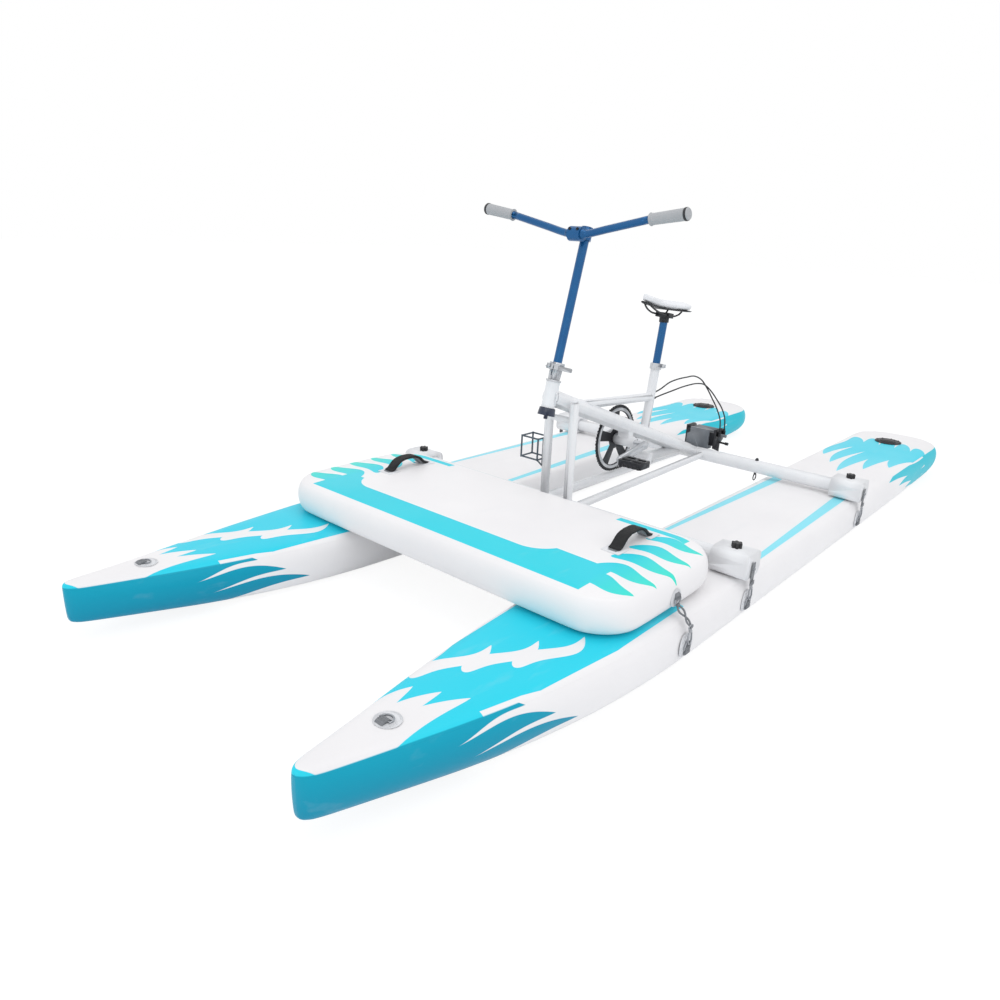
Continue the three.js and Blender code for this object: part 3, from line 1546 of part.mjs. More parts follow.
const headTop = tiltCentre.z - tiltBlock.height / 2 - seatGap;
function addGearHead() {
  const y = tiltCentre.y;
  const low = headTop - gearHead.height;
  const body = rod(v(0, y, low), v(0, y, headTop), gearHead.lowDiameter, fine, gearHead.diameter);
  const arm = block(
    cheek.spacing - gearHead.armClear,
    gearHead.armWidth,
    gearHead.armThickness,
    0,
    y,
    headTop - gearHead.armThickness / 2,
  );
  const bore = rod(
    v(0, y, headTop + overrun),
    v(0, y, headTop - gearHead.height / 2 - seatGap),
    gearHead.kingpin + 2 * runningGap,
    medium,
  );
  const socket = rod(
    v(0, y, low - overrun),
    v(0, y, low + output.height / 2),
    output.diameter + 2 * runningGap,
    medium,
  );
  add('gear_head', cut(union(body, arm), bore, socket), 'greyCast');
  const dog = rod(
    v(0, y, low - output.height / 2),
    v(0, y, low + output.height / 2 - seatGap),
    output.diameter,
    medium,
  );
  const slot = block(output.slot, output.diameter * 2, output.slotDepth * 2, 0, y, low - output.height / 2);
  add('output_coupling', cut(dog, slot), 'steel');
}

// Steering cables: one smooth curve each, from the outlet on the seat tube to a stop on the port cheek.
const outlet = onSeat(topTube.seatHeight + mainTube.diameter / 2);
const outletReach = seatTube.diameter / 2 / Math.cos(seatRake)
  + (cable.ferrule / 2) * Math.tan(seatRake)
  + seatGap;
function stopPoint(index) {
  const y = tiltCentre.y - cable.stopAhead + index * cable.stopStep;
  const x = cheek.spacing / 2 + cheek.thickness + cable.stop / 2 - cable.stopSink;
  return v(x, y, tiltCentre.z + cable.stopHeight - cable.stopSocket + seatGap);
}

function addCable(name, index) {
  const hand = index === 0 ? -1 : 1;
  const start = outlet.clone()
    .addScaledVector(seatAxis, -hand * cable.ferrule)
    .add(v(hand * cable.ferrule / 2, outletReach, 0));
  const end = stopPoint(index);
  const run = end.y - start.y;
  const spread = hand * cable.spread;
  const archRises = [cable.archHip, cable.archRise, cable.archHip];
  const arch = archRunShares.map((share, i) => v(
    end.x * archOutShares[i] + spread,
    start.y + run * share,
    start.z + archRises[i] - spread,
  ));
  const points = [
    start,
    start.clone().add(v(0, cable.outletRun, cable.outletRise)),
    ...arch,
    v(
      end.x * shoulderOutShare + spread,
      end.y - cable.shoulderBack - spread,
      end.z + cable.shoulder - spread,
    ),
    v(end.x * bendOutShare, end.y - cable.bendBack, end.z + cable.bend),
    end.clone().add(v(0, 0, cable.landing)),
    end,
  ];
  const body = bentRod(points, cable.diameter, cableSteps, small);
  const ferrule = rod(start, start.clone().add(v(0, cable.ferruleLength, 0)), cable.ferrule, small);
  const lower = rod(end, end.clone().add(v(0, 0, cable.ferruleLength)), cable.ferrule, small);
  add(name, union(body, ferrule, lower), 'black');
}

// Wire cage clamped to the starboard leg.
function addCage() {
  const x = -leg.spacing / 2 - (leg.diameter / 2) * Math.cos(Math.PI / medium) - seatGap;
  const y = crossbar.frontY;
  const low = crossbarZ + cage.above;
  const high = low + cage.height;
  const half = cage.wire / 2;
  const near = x - half;
  const far = near - cage.width;
  const front = y - cage.depth / 2;
  const back = y + cage.depth / 2;
  const hoop = (z) => {
    const corners = [v(near, front, z), v(far, front, z), v(far, back, z), v(near, back, z)];
    const nexts = [...corners.slice(1), corners[0]];
    return union(...corners.map((corner, i) => rod(corner, nexts[i], cage.wire, small)));
  };
  const post = (px, py) => rod(v(px, py, low - half), v(px, py, high + half), cage.wire, small);
  const posts = [post(near, front), post(far, front), post(far, back), post(near, back)];
  const spine = rod(v(near, y, low - cage.tail), v(near, y, high), cage.wire, small);
  const foot = rod(v(near, front, low), v(near, y, low - cage.tail), cage.wire, small);
  add('bottle_cage', union(hoop(low), hoop(high), ...posts, spine, foot), 'darkWire');
}

addHull('port', 1);
addHull('starboard', -1);
addValve('port', 1);
addValve('starboard', -1);
addBowRing('port', 1);
addBowRing('starboard', -1);
addPad();
addPadHandle('port', 1);
addPadHandle('starboard', -1);
addCrossbar('front', crossbar.frontY, []);
addCrossbar('rear', crossbar.rearY, [-eye.x, eye.x]);
addSaddleBlock('saddle_front_port', 1, crossbar.frontY);
addSaddleBlock('saddle_front_starboard', -1, crossbar.frontY);
addSaddleBlock('saddle_rear_port', 1, crossbar.rearY);
addSaddleBlock('saddle_rear_starboard', -1, crossbar.rearY);
const padStrapY = padRearY - pad.depth / 2;
const padStrapTop = padZ + pad.height / 2;
const barStrapTop = deckZ + seatGap + saddleBlock.floor + crossbar.diameter / 2;
addStrap('platform_strap_port', 1, padStrapY, padStrapTop);
addStrap('platform_strap_starboard', -1, padStrapY, padStrapTop);
addStrap('front_strap_port', 1, crossbar.frontY, barStrapTop);
addStrap('front_strap_starboard', -1, crossbar.frontY, barStrapTop);
addStrap('rear_strap_port', 1, crossbar.rearY, barStrapTop);
addStrap('rear_strap_starboard', -1, crossbar.rearY, barStrapTop);
addMainTube();
addRearMount();
addDriveTube();
addHeadTube();
addSeatTube();
addTopTube();
addLegs();
addRail('port', 1);
addRail('starboard', -1);
addHeadset();
addStem();
addBar();
addGrip('port', 1);
addGrip('starboard', -1);
addSeatPost();
addSaddle();
const camX = lever.ears / 2 + seatGap + lever.cam / 2;
const stemLeverPlace = onHead(bandLow + head.clampBandHeight / 2).add(v(camX, -head.clampBand * 0.625, 0));
const stemLever = leverSolid()
  .rotate([0, 0, lever.angle])
  .rotate([-head.rake, 0, 0])
  .translate(stemLeverPlace.toArray());
add('stem_lever', stemLever, 'alloy');
const seatLeverPlace = onSeat(seatTube.length).add(v(camX, seatCollar.diameter * 0.625, 0));
const seatLever = leverSolid()
  .rotate([0, 0, -lever.angle])
  .rotate([-seatTube.rake, 0, 0])
  .translate(seatLeverPlace.toArray());
add('seat_lever', seatLever, 'alloy');
addCrank('port', 1);
addCrank('starboard', -1);
addPedal('port', 1);
addPedal('starboard', -1);
addChain();
addChainwheel();
addJackshaft();
addTiltBracket();
addTiltBlock();
addGearHead();
addCable('steering_cable_upper', 0);
addCable('steering_cable_lower', 1);
addCage();

export default waterBike;
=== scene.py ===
# %% [markdown]
# # A pontoon water bike
# Two inflated hulls carry a bicycle frame, a pad in front of the rider and a
# drive head at the back. The rigid parts come in as a fixed frame, and this
# lesson dresses them: it gives each its finish, and models the soft and small
# pieces that a plain solid can't show. All sizes are in metres.

# %% Load the rigid frame
import json
import math

import bpy
from mathutils import Matrix, Vector

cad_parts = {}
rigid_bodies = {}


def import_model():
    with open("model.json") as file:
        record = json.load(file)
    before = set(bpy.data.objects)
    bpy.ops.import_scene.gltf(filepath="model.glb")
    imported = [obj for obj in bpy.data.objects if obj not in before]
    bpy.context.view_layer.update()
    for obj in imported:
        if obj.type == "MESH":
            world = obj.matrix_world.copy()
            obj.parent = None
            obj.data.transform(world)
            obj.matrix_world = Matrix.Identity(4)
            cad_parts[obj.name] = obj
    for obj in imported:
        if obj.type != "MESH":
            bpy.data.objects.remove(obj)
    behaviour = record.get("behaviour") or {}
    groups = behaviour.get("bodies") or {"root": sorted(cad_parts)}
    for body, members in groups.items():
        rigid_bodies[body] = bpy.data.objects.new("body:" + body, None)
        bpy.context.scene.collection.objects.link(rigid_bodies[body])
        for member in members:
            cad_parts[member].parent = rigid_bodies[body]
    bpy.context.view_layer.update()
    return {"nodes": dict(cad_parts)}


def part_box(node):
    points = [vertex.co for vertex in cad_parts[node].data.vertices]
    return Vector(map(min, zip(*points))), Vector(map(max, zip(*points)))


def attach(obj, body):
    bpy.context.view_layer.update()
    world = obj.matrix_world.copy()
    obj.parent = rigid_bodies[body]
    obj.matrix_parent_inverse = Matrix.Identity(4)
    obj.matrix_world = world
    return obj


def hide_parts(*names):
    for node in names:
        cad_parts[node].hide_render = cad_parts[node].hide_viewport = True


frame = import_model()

SIDES = (("port", 1), ("starboard", -1))


def centre_of(node):
    low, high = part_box(node)
    return (Vector(low) + Vector(high)) / 2


# %% [markdown]
# ## The camera
# The picture was taken from ahead, off the port bow, at about the height of
# the bars. A wide lens close by gives the near bow its size, so the camera
# stands at a real distance with a short lens, instead of far away with a long
# one. Its turns are written as angles, and the three axes follow from them.

# %% Camera
camera_place = Vector((1.538, -2.554, 1.113))
camera_yaw = math.radians(40.445)
camera_pitch = math.radians(19.763)
camera_roll = math.radians(2.667)

ahead = Vector((
    -math.sin(camera_yaw) * math.cos(camera_pitch),
    math.cos(camera_yaw) * math.cos(camera_pitch),
    -math.sin(camera_pitch),
))
level_right = Vector((math.cos(camera_yaw), math.sin(camera_yaw), 0))
level_up = level_right.cross(ahead)
right = math.cos(camera_roll) * level_right + math.sin(camera_roll) * level_up
up = math.cos(camera_roll) * level_up - math.sin(camera_roll) * level_right

camera_data = bpy.data.cameras.new("camera")
camera_data.lens = 27.49
camera_data.sensor_width = 36
camera_data.shift_x = -0.0039
camera_data.shift_y = 0.0030
camera = bpy.data.objects.new("camera", camera_data)
bpy.context.scene.collection.objects.link(camera)
camera_turn = Matrix((right, up, -ahead)).transposed()
camera.matrix_world = Matrix.Translation(camera_place) @ camera_turn.to_4x4()
bpy.context.scene.camera = camera
bpy.context.scene.view_settings.view_transform = "Standard"
print("camera at", [round(c, 3) for c in camera_place])

# %% [markdown]
# ## Sums with shader nodes
# Every finish is drawn by nodes, so it stays sharp at any distance. A node
# gives a number, a colour or a place at each point of a surface. Wiring
# hundreds of them by hand is slow to write and hard to follow. So a small
# class holds what one node gives, and a sum with it adds the math node.

# %% Readings
class Reading:
    """What one node gives at each point. A sum with it adds a math node."""

    def __init__(self, tree, socket):
        self.tree = tree
        self.socket = socket

    def __add__(self, other):
        return calc("ADD", self, other)

    def __sub__(self, other):
        return calc("SUBTRACT", self, other)

    def __rsub__(self, other):
        return calc("SUBTRACT", other, self)

    def __mul__(self, other):
        return calc("MULTIPLY", self, other)

    def __pow__(self, other):
        return calc("POWER", self, other)

    def __abs__(self):
        return calc("ABSOLUTE", self)


def feed(value, socket):
    if isinstance(value, Reading):
        value.tree.links.new(value.socket, socket)
    else:
        socket.default_value = value


def calc(operation, *values, clamp=False):
    tree = next(value.tree for value in values if isinstance(value, Reading))
    node = tree.nodes.new("ShaderNodeMath")
    node.operation = operation
    node.use_clamp = clamp
    for socket, value in zip(node.inputs, values):
        feed(value, socket)
    return Reading(tree, node.outputs[0])


def ramp(value, low, high, to_low=0.0, to_high=1.0):
    node = value.tree.nodes.new("ShaderNodeMapRange")
    settings = {"Value": value, "From Min": low, "From Max": high, "To Min": to_low, "To Max": to_high}
    for name, setting in settings.items():
        feed(setting, node.inputs[name])
    return Reading(value.tree, node.outputs[0])


print("sums ready")

# %% [markdown]
# ### Colours, noise and places
# A colour is written as it looks in a picture, and turned into the linear one
# that light is reckoned with. Noise gives slow clouds or fine grain, by its
# scale.

# %% Colours and noise
def linear(red, green, blue):
    shares = [c / 255 for c in (red, green, blue)]
    light = [c / 12.92 if c < 0.04045 else ((c + 0.055) / 1.055) ** 2.4 for c in shares]
    return (*light, 1)


def blend_colours(share, first, second):
    node = share.tree.nodes.new("ShaderNodeMix")
    node.data_type = "RGBA"
    for number, value in ((0, share), (6, first), (7, second)):
        feed(value, node.inputs[number])
    return Reading(share.tree, node.outputs[2])


def noise(place, scale, detail=3.0, stretch=(1, 1, 1)):
    mapping = place.tree.nodes.new("ShaderNodeMapping")
    mapping.inputs["Scale"].default_value = stretch
    feed(place, mapping.inputs["Vector"])
    node = place.tree.nodes.new("ShaderNodeTexNoise")
    feed(scale, node.inputs["Scale"])
    node.inputs["Detail"].default_value = detail
    place.tree.links.new(mapping.outputs[0], node.inputs["Vector"])
    return Reading(place.tree, node.outputs["Fac"])


def axes_of(place):
    node = place.tree.nodes.new("ShaderNodeSeparateXYZ")
    feed(place, node.inputs[0])
    return [Reading(place.tree, axis) for axis in node.outputs]


print("white as light:", [round(c, 2) for c in linear(244, 243, 243)])

# %% [markdown]
# ### Groups and materials
# A pattern that several finishes share is a node group, with named readings
# going in and coming out. A material reads the place on its own object, so no
# finish slides when a joint moves.

# %% Groups and materials
def new_group(name, inputs, outputs):
    """An empty group; its input Position is a place, and all others are numbers."""
    group = bpy.data.node_groups.new(name, "ShaderNodeTree")
    for label in inputs:
        kind = "NodeSocketVector" if label == "Position" else "NodeSocketFloat"
        group.interface.new_socket(label, in_out="INPUT", socket_type=kind)
    for label in outputs:
        group.interface.new_socket(label, in_out="OUTPUT", socket_type="NodeSocketFloat")
    entry = group.nodes.new("NodeGroupInput")
    given = {socket.name: Reading(group, socket) for socket in entry.outputs}
    return group, given, group.nodes.new("NodeGroupOutput").inputs


def use_group(tree, group, **values):
    node = tree.nodes.new("ShaderNodeGroup")
    node.node_tree = group
    for name, value in values.items():
        feed(value, node.inputs[name])
    return {socket.name: Reading(tree, socket) for socket in node.outputs}


def new_material(name):
    """A material, the sockets of its surface and the reading of the place on the object."""
    material = bpy.data.materials.new(name)
    material.use_nodes = True
    nodes = material.node_tree.nodes
    place = nodes.new("ShaderNodeTexCoord").outputs["Object"]
    return material, nodes["Principled BSDF"].inputs, Reading(material.node_tree, place)


def relief(surface, height, distance, strength):
    bump = height.tree.nodes.new("ShaderNodeBump")
    bump.inputs["Strength"].default_value = strength
    bump.inputs["Distance"].default_value = distance
    feed(height, bump.inputs["Height"])
    height.tree.links.new(bump.outputs[0], surface["Normal"])


print("helpers ready")

# %% [markdown]
# ## Floor, light and air
# The machine stands on a pale floor under three soft lamps. The floor shows
# the camera an even white and keeps a faint shadow, while the lamps stay weak
# enough that the white hulls don't burn out. Floor and air do this in one way:
# one shader lights the machine, and the other is what the camera sees.

# %% Floor
def show_other(tree, lit, shown, share, output):
    """The camera and shiny faces see the second shader by this share, and all else the first."""
    rays = tree.nodes.new("ShaderNodeLightPath").outputs
    seen = calc("MAXIMUM", Reading(tree, rays["Is Camera Ray"]), Reading(tree, rays["Is Glossy Ray"]))
    mix = tree.nodes.new("ShaderNodeMixShader")
    feed(seen * share, mix.inputs[0])
    tree.links.new(lit.outputs[0], mix.inputs[1])
    tree.links.new(shown.outputs[0], mix.inputs[2])
    tree.links.new(mix.outputs[0], tree.nodes[output].inputs["Surface"])


bpy.ops.object.select_all(action="DESELECT")
bpy.ops.mesh.primitive_plane_add(size=60, location=(0, 0, -0.001))
floor = bpy.context.object
floor.name = "studio_floor"
bpy.ops.object.transform_apply(location=True, rotation=False, scale=False)

floor_finish, surface, place = new_material("studio floor")
surface["Base Color"].default_value = linear(246, 248, 250)
feed(ramp(noise(place, 0.6), 0.0, 1.0, 0.86, 0.94), surface["Roughness"])
tree = floor_finish.node_tree
glow = tree.nodes.new("ShaderNodeEmission")
glow.inputs["Strength"].default_value = 1.10
show_other(tree, tree.nodes["Principled BSDF"], glow, 0.80, "Material Output")
floor.data.materials.append(floor_finish)
print("floor ready")

# %% [markdown]
# The air fills the shadows with an even, slightly cool light. A disk lamp above
# models the hulls, a weak one stands at the side, and one far in front brightens
# the walls that face the camera. Large disks give the soft shadow edges of a
# studio, which a point lamp can't.

# %% Lamps and air
air = bpy.data.worlds.new("studio air")
bpy.context.scene.world = air
air.use_nodes = True
soft_fill = air.node_tree.nodes["Background"]
white_wall = air.node_tree.nodes.new("ShaderNodeBackground")
for node, colour, strength in ((soft_fill, (0.98, 0.98, 1.0, 1), 0.88), (white_wall, (1, 1, 1, 1), 1.0)):
    node.inputs["Color"].default_value = colour
    node.inputs["Strength"].default_value = strength
show_other(air.node_tree, soft_fill, white_wall, 1.0, "World Output")


def add_lamp(name, place, target, size, power):
    lamp_data = bpy.data.lights.new(name, "AREA")
    lamp_data.shape = "DISK"
    lamp_data.size = size
    lamp_data.energy = power
    lamp = bpy.data.objects.new(name, lamp_data)
    bpy.context.scene.collection.objects.link(lamp)
    aim = Vector(target) - Vector(place)
    lamp.rotation_euler = aim.to_track_quat("-Z", "Y").to_euler()
    lamp.location = place


add_lamp("overhead softbox", (0.8, -0.6, 4.6), (0, 0, 0), 4.0, 44)
add_lamp("side softbox", (4.2, -1.6, 2.2), (0.3, -0.2, 0.2), 2.6, 8)
add_lamp("front softbox", (0.4, -7.6, 2.2), (0, -0.6, 0.2), 3.4, 36)
print("lights ready")

# %% [markdown]
# ## The printed waves
# The hulls and the front pad carry a printed pattern of curling waves. Each
# wave is one tongue: it runs from a root to a tip, bends on the way and is
# pointed at both ends. It could be painted on a picture and laid over the
# skin, but a picture blurs close by. So one node group draws a tongue from a
# few sums, and the prints are made of a few rows of them.

# %% Tongue of a printed wave
PRINT_EDGE = 0.0012
TONGUE = ("Along", "Across", "Root", "Tip", "Offset", "Slope", "Bend", "Width", "Curl")

tongue, given, result = new_group("wave tongue", TONGUE, ["Mask"])
share = calc("DIVIDE", given["Along"] - given["Root"], given["Tip"] - given["Root"], clamp=True)
spine = calc("MULTIPLY_ADD", given["Slope"], share, given["Offset"])
spine = calc("MULTIPLY_ADD", given["Bend"], calc("SINE", share * math.pi), spine)
spine = calc("MULTIPLY_ADD", given["Curl"], calc("SINE", share * (2 * math.pi)), spine)
half_width = share ** 0.45 * (1 - share) ** 0.8 * 1.75 * given["Width"]
inside = half_width - abs(given["Across"] - spine) - PRINT_EDGE
feed(calc("DIVIDE", inside, PRINT_EDGE, clamp=True), result["Mask"])
print("tongue group:", len(tongue.nodes), "nodes")

# %% [markdown]
# ### Fields of a print
# A mask is 1 inside a printed field and 0 outside, with a thin soft edge. New
# fields come from old ones: where either is, where all are, or one with
# another cut out of it.

# %% Masks
def beyond(value, limit, edge=PRINT_EDGE):
    return ramp(value, limit, limit + edge)


def below(value, limit):
    return beyond(value * -1, -limit)


def either(*masks):
    total = masks[0]
    for mask in masks[1:]:
        total = calc("MAXIMUM", total, mask)
    return total


def all_of(*masks):
    total = masks[0]
    for mask in masks[1:]:
        total = total * mask
    return total


def without(mask, removed):
    return mask * (1 - removed)


def draw_tongues(along, across, shapes):
    """Each shape is (root, tip, offset, slope, bend, width, curl)."""
    masks = []
    for shape in shapes:
        values = dict(zip(TONGUE[2:], shape))
        masks.append(use_group(along.tree, tongue, Along=along, Across=across, **values)["Mask"])
    return either(*masks)


print("masks ready")

# %% [markdown]
# ### The print on a hull
# Both hulls carry the same print. It needs three readings at each point: how
# far it is from the bow, how far to the side of the hull's middle, and how
# far below the deck. The deck rises a little towards the bow, and the wall
# starts just below it.

# %% Readings on a hull
hull_low, hull_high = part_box("hull_port")
HULL_MIDDLE = (hull_low.x + hull_high.x) / 2
DECK_HEIGHT = 0.155
BOW_RISE = 0.020
RISE_LENGTH = 0.8
WALL_FALL = 0.012

hull_print, given, result = new_group("hull print", ["Position"], ["Teal", "Side", "Fall", "From Bow"])
x, y, z = axes_of(given["Position"])
run = y + hull_high.y
aside = x - calc("SIGN", x) * HULL_MIDDLE
nearness = calc("MULTIPLY_ADD", run, -1 / RISE_LENGTH, 1, clamp=True)
fall = nearness ** 2 * BOW_RISE + DECK_HEIGHT - z
wall = beyond(fall, WALL_FALL, 0.002)
print("hull middle at", round(HULL_MIDDLE, 4))

# %% [markdown]
# The bow is teal with a white nose, the waist is white with one stripe, and
# the stern is white with teal waves. The waves stand in plain rows, evenly
# stepped, so each row is one short list.

# %% Bow of the hull print
BOW_FIELD_END = 1.15
WHOLE_DECK_END = 0.39
WHOLE_SIDE_END = 0.29

nose = draw_tongues(run, aside, [
    (0.008, 0.350 + 0.030 * i, 0, -0.060 + 0.060 * i, 0, 0.052, 0.010) for i in range(3)
])
deck_waves = draw_tongues(run, aside, [
    (0.37 + 0.10 * i, 0.61 + 0.10 * i, -0.094 + 0.068 * i, 0.030, 0.010, 0.036, -0.018) for i in range(3)
])
side_waves = draw_tongues(run, fall, [
    (0.20, 0.50 + 0.08 * i, 0.022 + 0.044 * i, 0, -0.004, 0.034, 0.012) for i in range(3)
])
border = ramp(run, 0.50, 0.82, 0.134, 0.166) - ramp(run, 0.55, 0.30, 0.0, 0.050)
inboard = below(abs(aside) - border, 0)
bow_field = all_of(below(run, BOW_FIELD_END), either(inboard, below(run, WHOLE_DECK_END)))
bow_deck = without(bow_field, either(nose, deck_waves))
bow_side = either(below(run, WHOLE_SIDE_END), side_waves)
print("bow print:", len(hull_print.nodes), "nodes so far")

# %% [markdown]
# The stripe runs along the outer edge of the deck and draws in towards the
# stern. Its two borders are straight ramps along the run, so it stays a clean
# band. The stern's waves point forward, five on the deck and three on the wall.

# %% Waist and stern of the hull print
STRIPE_START, STRIPE_END = 1.54, 2.62
STERN_SIDE_START = 3.50

narrowing = ramp(run, STRIPE_START, 2.50)
stripe_inner = calc("MULTIPLY_ADD", narrowing, -0.040, 0.160)
stripe_outer = calc("MULTIPLY_ADD", narrowing, -0.014, 0.178)
stripe = all_of(
    beyond(abs(aside) - stripe_inner, 0), below(abs(aside) - stripe_outer, 0),
    beyond(run, STRIPE_START), below(run, STRIPE_END),
)
stern_deck = draw_tongues(run, aside, [
    (3.66 - 0.03 * abs(i - 2), 2.84 + 0.13 * abs(i - 2), -0.150 + 0.075 * i, 0, 0.012, 0.056, 0.018)
    for i in range(5)
])
stern_waves = draw_tongues(run, fall, [
    (3.58, 2.92 + 0.14 * i, 0.026 + 0.040 * i, 0, 0.006, 0.030, 0.010) for i in range(3)
])
on_deck = either(bow_deck, stripe, stern_deck)
on_side = either(bow_side, beyond(run, STERN_SIDE_START), stern_waves)
feed(without(on_deck, wall) + on_side * wall, result["Teal"])
for label, reading in (("Side", wall), ("Fall", fall), ("From Bow", run)):
    feed(reading, result[label])
print("hull print:", len(hull_print.nodes), "nodes")

# %% [markdown]
# ### The print on the front pad
# The pad's print follows its rim: a broad teal band in front, a narrow one
# behind, and a row of five even waves at each end. Both bands come from one
# sum, which says how far a point lies inside a rounded rectangle.

# %% Pad print
pad_print, given, result = new_group("pad print", ["Position"], ["Teal", "Rim", "Green"])
x, y, z = axes_of(given["Position"])
back = y - centre_of("front_platform").y
wide = abs(x)


def rounded_inset(across, along, half_across, half_along, corner):
    over_across = calc("MAXIMUM", abs(across) - (half_across - corner), 0)
    over_along = calc("MAXIMUM", abs(along) - (half_along - corner), 0)
    return corner - calc("SQRT", over_across ** 2 + over_along ** 2)


rim_inset = rounded_inset(x, back, 0.662, 0.262, 0.112)
panel_inset = rounded_inset(x + 0.060, back - 0.103, 0.435, 0.258, 0.100)
band = without(beyond(rim_inset, 0.002), beyond(panel_inset, 0))
band = all_of(band, below(back, -0.096), below(wide, 0.560))
rear_stripe = all_of(
    beyond(rim_inset, 0.004), below(rim_inset, 0.036), beyond(back, 0.06),
    beyond(abs(x + 0.02), 0.37), below(wide, 0.60),
)
end_waves = draw_tongues(wide, back, [
    (0.500, 0.700 - 0.012 * abs(i - 2), -0.205 + 0.092 * i, 0.026, 0.014, 0.050 - 0.003 * i, 0.014)
    for i in range(5)
])
top_only = beyond(z, 0.236)
feed(either(band, rear_stripe, end_waves) * top_only, result["Teal"])
feed(rim_inset, result["Rim"])
feed(ramp(wide, 0.54, 0.69), result["Green"])
print("pad print:", len(pad_print.nodes), "nodes")

# %% [markdown]
# ## Finishes of the soft parts
# The skins are coated fabric: nearly smooth, with the faint net of the woven
# base, slow waves where the stitches hold the walls, and a glued seam along
# each edge. The print sits in the coating, so it has the same gloss.

# %% Coated fabric
THREAD_PITCH = 0.0016

coating, given, result = new_group("coated fabric", ["Position", "Seam"], ["Height", "Cloud", "Scuff"])
place = given["Position"]
across, along, upward = [calc("SINE", axis * (2 * math.pi / THREAD_PITCH)) for axis in axes_of(place)]
height = calc("MULTIPLY_ADD", across + along + upward, 0.010, noise(place, 9.0, 2.0))
height = calc("MULTIPLY_ADD", noise(place, 120.0, 2.0), 0.08, height)
feed(height + given["Seam"], result["Height"])
feed(noise(place, 3.0, 4.0), result["Cloud"])
feed(ramp(noise(place, 22.0, 6.0, stretch=(1, 0.25, 1)), 0.60, 0.78), result["Scuff"])
print("coating:", len(coating.nodes), "nodes")


# %% [markdown]
# The hull's teal isn't one colour. It is bright on the bow's deck and pale amidships,
# so it is blended from a few tones along the hull. The wall gets a darker teal as
# painted shade, darker still towards its bottom. The white cloth and its worn spots
# lie under the print, and seams rise beside it.

# %% Hull skin
SKIN_WHITE = linear(244, 243, 243)
SKIN_SHADE = linear(233, 232, 233)
SKIN_WORN = linear(214, 220, 224)


def finish_skin(surface, place, printed, teal, seam):
    cover = use_group(place.tree, coating, Position=place, Seam=seam)
    white = blend_colours(cover["Cloud"], SKIN_WHITE, SKIN_SHADE)
    coloured = blend_colours(printed, white, teal)
    feed(blend_colours(cover["Scuff"] * 0.10, coloured, SKIN_WORN), surface["Base Color"])
    feed(ramp(cover["Cloud"], 0.3, 0.7, 0.34, 0.46), surface["Roughness"])
    surface["Specular IOR Level"].default_value = 0.20
    surface["Coat Weight"].default_value = 0.03
    surface["Coat Roughness"].default_value = 0.35
    relief(surface, cover["Height"], 0.0016, 0.55)


def seam_at(reading, limit):
    return ramp(abs(reading - limit), 0.0022, 0.0, 0.0, 0.5)


hull_skin, surface, place = new_material("printed hull skin")
marks = use_group(place.tree, hull_print, Position=place)
from_bow = marks["From Bow"]
deck_teal = blend_colours(noise(place, 1.4, 2.0), linear(28, 206, 230), linear(50, 216, 236))
paleness = ramp(from_bow, 0.9, 1.6, 0.0, 0.55) - ramp(from_bow, 2.6, 3.3, 0.0, 0.45)
deck_teal = blend_colours(paleness, deck_teal, linear(176, 236, 246))
# Painted shade: the wall's teal is darker than the deck's, and darker still towards the bottom of the wall.
shaded_wall_teal = blend_colours(ramp(marks["Fall"], 0.02, 0.15), linear(0, 160, 188), linear(0, 134, 168))
shaded_wall_teal = blend_colours(ramp(from_bow, 1.0, 2.6), shaded_wall_teal, linear(0, 196, 214))
hull_teal = blend_colours(marks["Side"], deck_teal, shaded_wall_teal)
seams = either(seam_at(marks["Fall"], 0.017), seam_at(marks["Fall"], 0.132))
finish_skin(surface, place, marks["Teal"], hull_teal, seams)
print("hull skin ready")

# %% [markdown]
# The pad takes the same cloth with its own print. Its teal turns greener towards
# both ends, and its one seam runs round the rim.

# %% Pad skin
pad_skin, surface, place = new_material("printed pad skin")
marks = use_group(place.tree, pad_print, Position=place)
pad_teal = blend_colours(noise(place, 2.0, 2.0), linear(24, 204, 222), linear(50, 216, 230))
pad_teal = blend_colours(marks["Green"], pad_teal, linear(62, 226, 204))
finish_skin(surface, place, marks["Teal"], pad_teal, seam_at(marks["Rim"], -0.012))
print("pad skin ready")

# %% [markdown]
# ## Finishes of the rigid parts
# Paint, anodising, moulding and metal differ in how they catch the light. One
# group gives each of them slow colour clouds, fine grain and rubbed spots,
# and the material then says how strong each is.

# %% Worked surface
RUB_SHARE = 0.3

worked, given, result = new_group("worked surface", ["Position", "Grain"], ["Cloud", "Fine", "Rub"])
place = given["Position"]
feed(noise(place, 16.0, 3.0), result["Cloud"])
feed(noise(place, given["Grain"], 4.0), result["Fine"])
feed(ramp(noise(place, 60.0, 8.0), 0.62, 0.80), result["Rub"])


def rigid_finish(name, colour, clouded, rubbed, roughness, grain=500, depth=0.0002, metallic=0, coat=0):
    material, surface, place = new_material(name)
    worn = use_group(place.tree, worked, Position=place, Grain=grain)
    tone = blend_colours(worn["Cloud"], linear(*colour), linear(*clouded))
    feed(blend_colours(worn["Rub"] * RUB_SHARE, tone, linear(*rubbed)), surface["Base Color"])
    feed(ramp(worn["Fine"], 0.3, 0.7, roughness - 0.05, roughness + 0.07), surface["Roughness"])
    surface["Metallic"].default_value = metallic
    surface["Coat Weight"].default_value = coat
    surface["Coat Roughness"].default_value = 0.12
    relief(surface, worn["Fine"], depth, 0.5)
    return material


print("worked surface:", len(worked.nodes), "nodes")

# %% [markdown]
# Each finish has a colour, the tone of its clouds and the tone of its rubbed
# spots. The frame is white paint, the stem and the seat post are anodised
# blue, and the drive is dark plated steel.

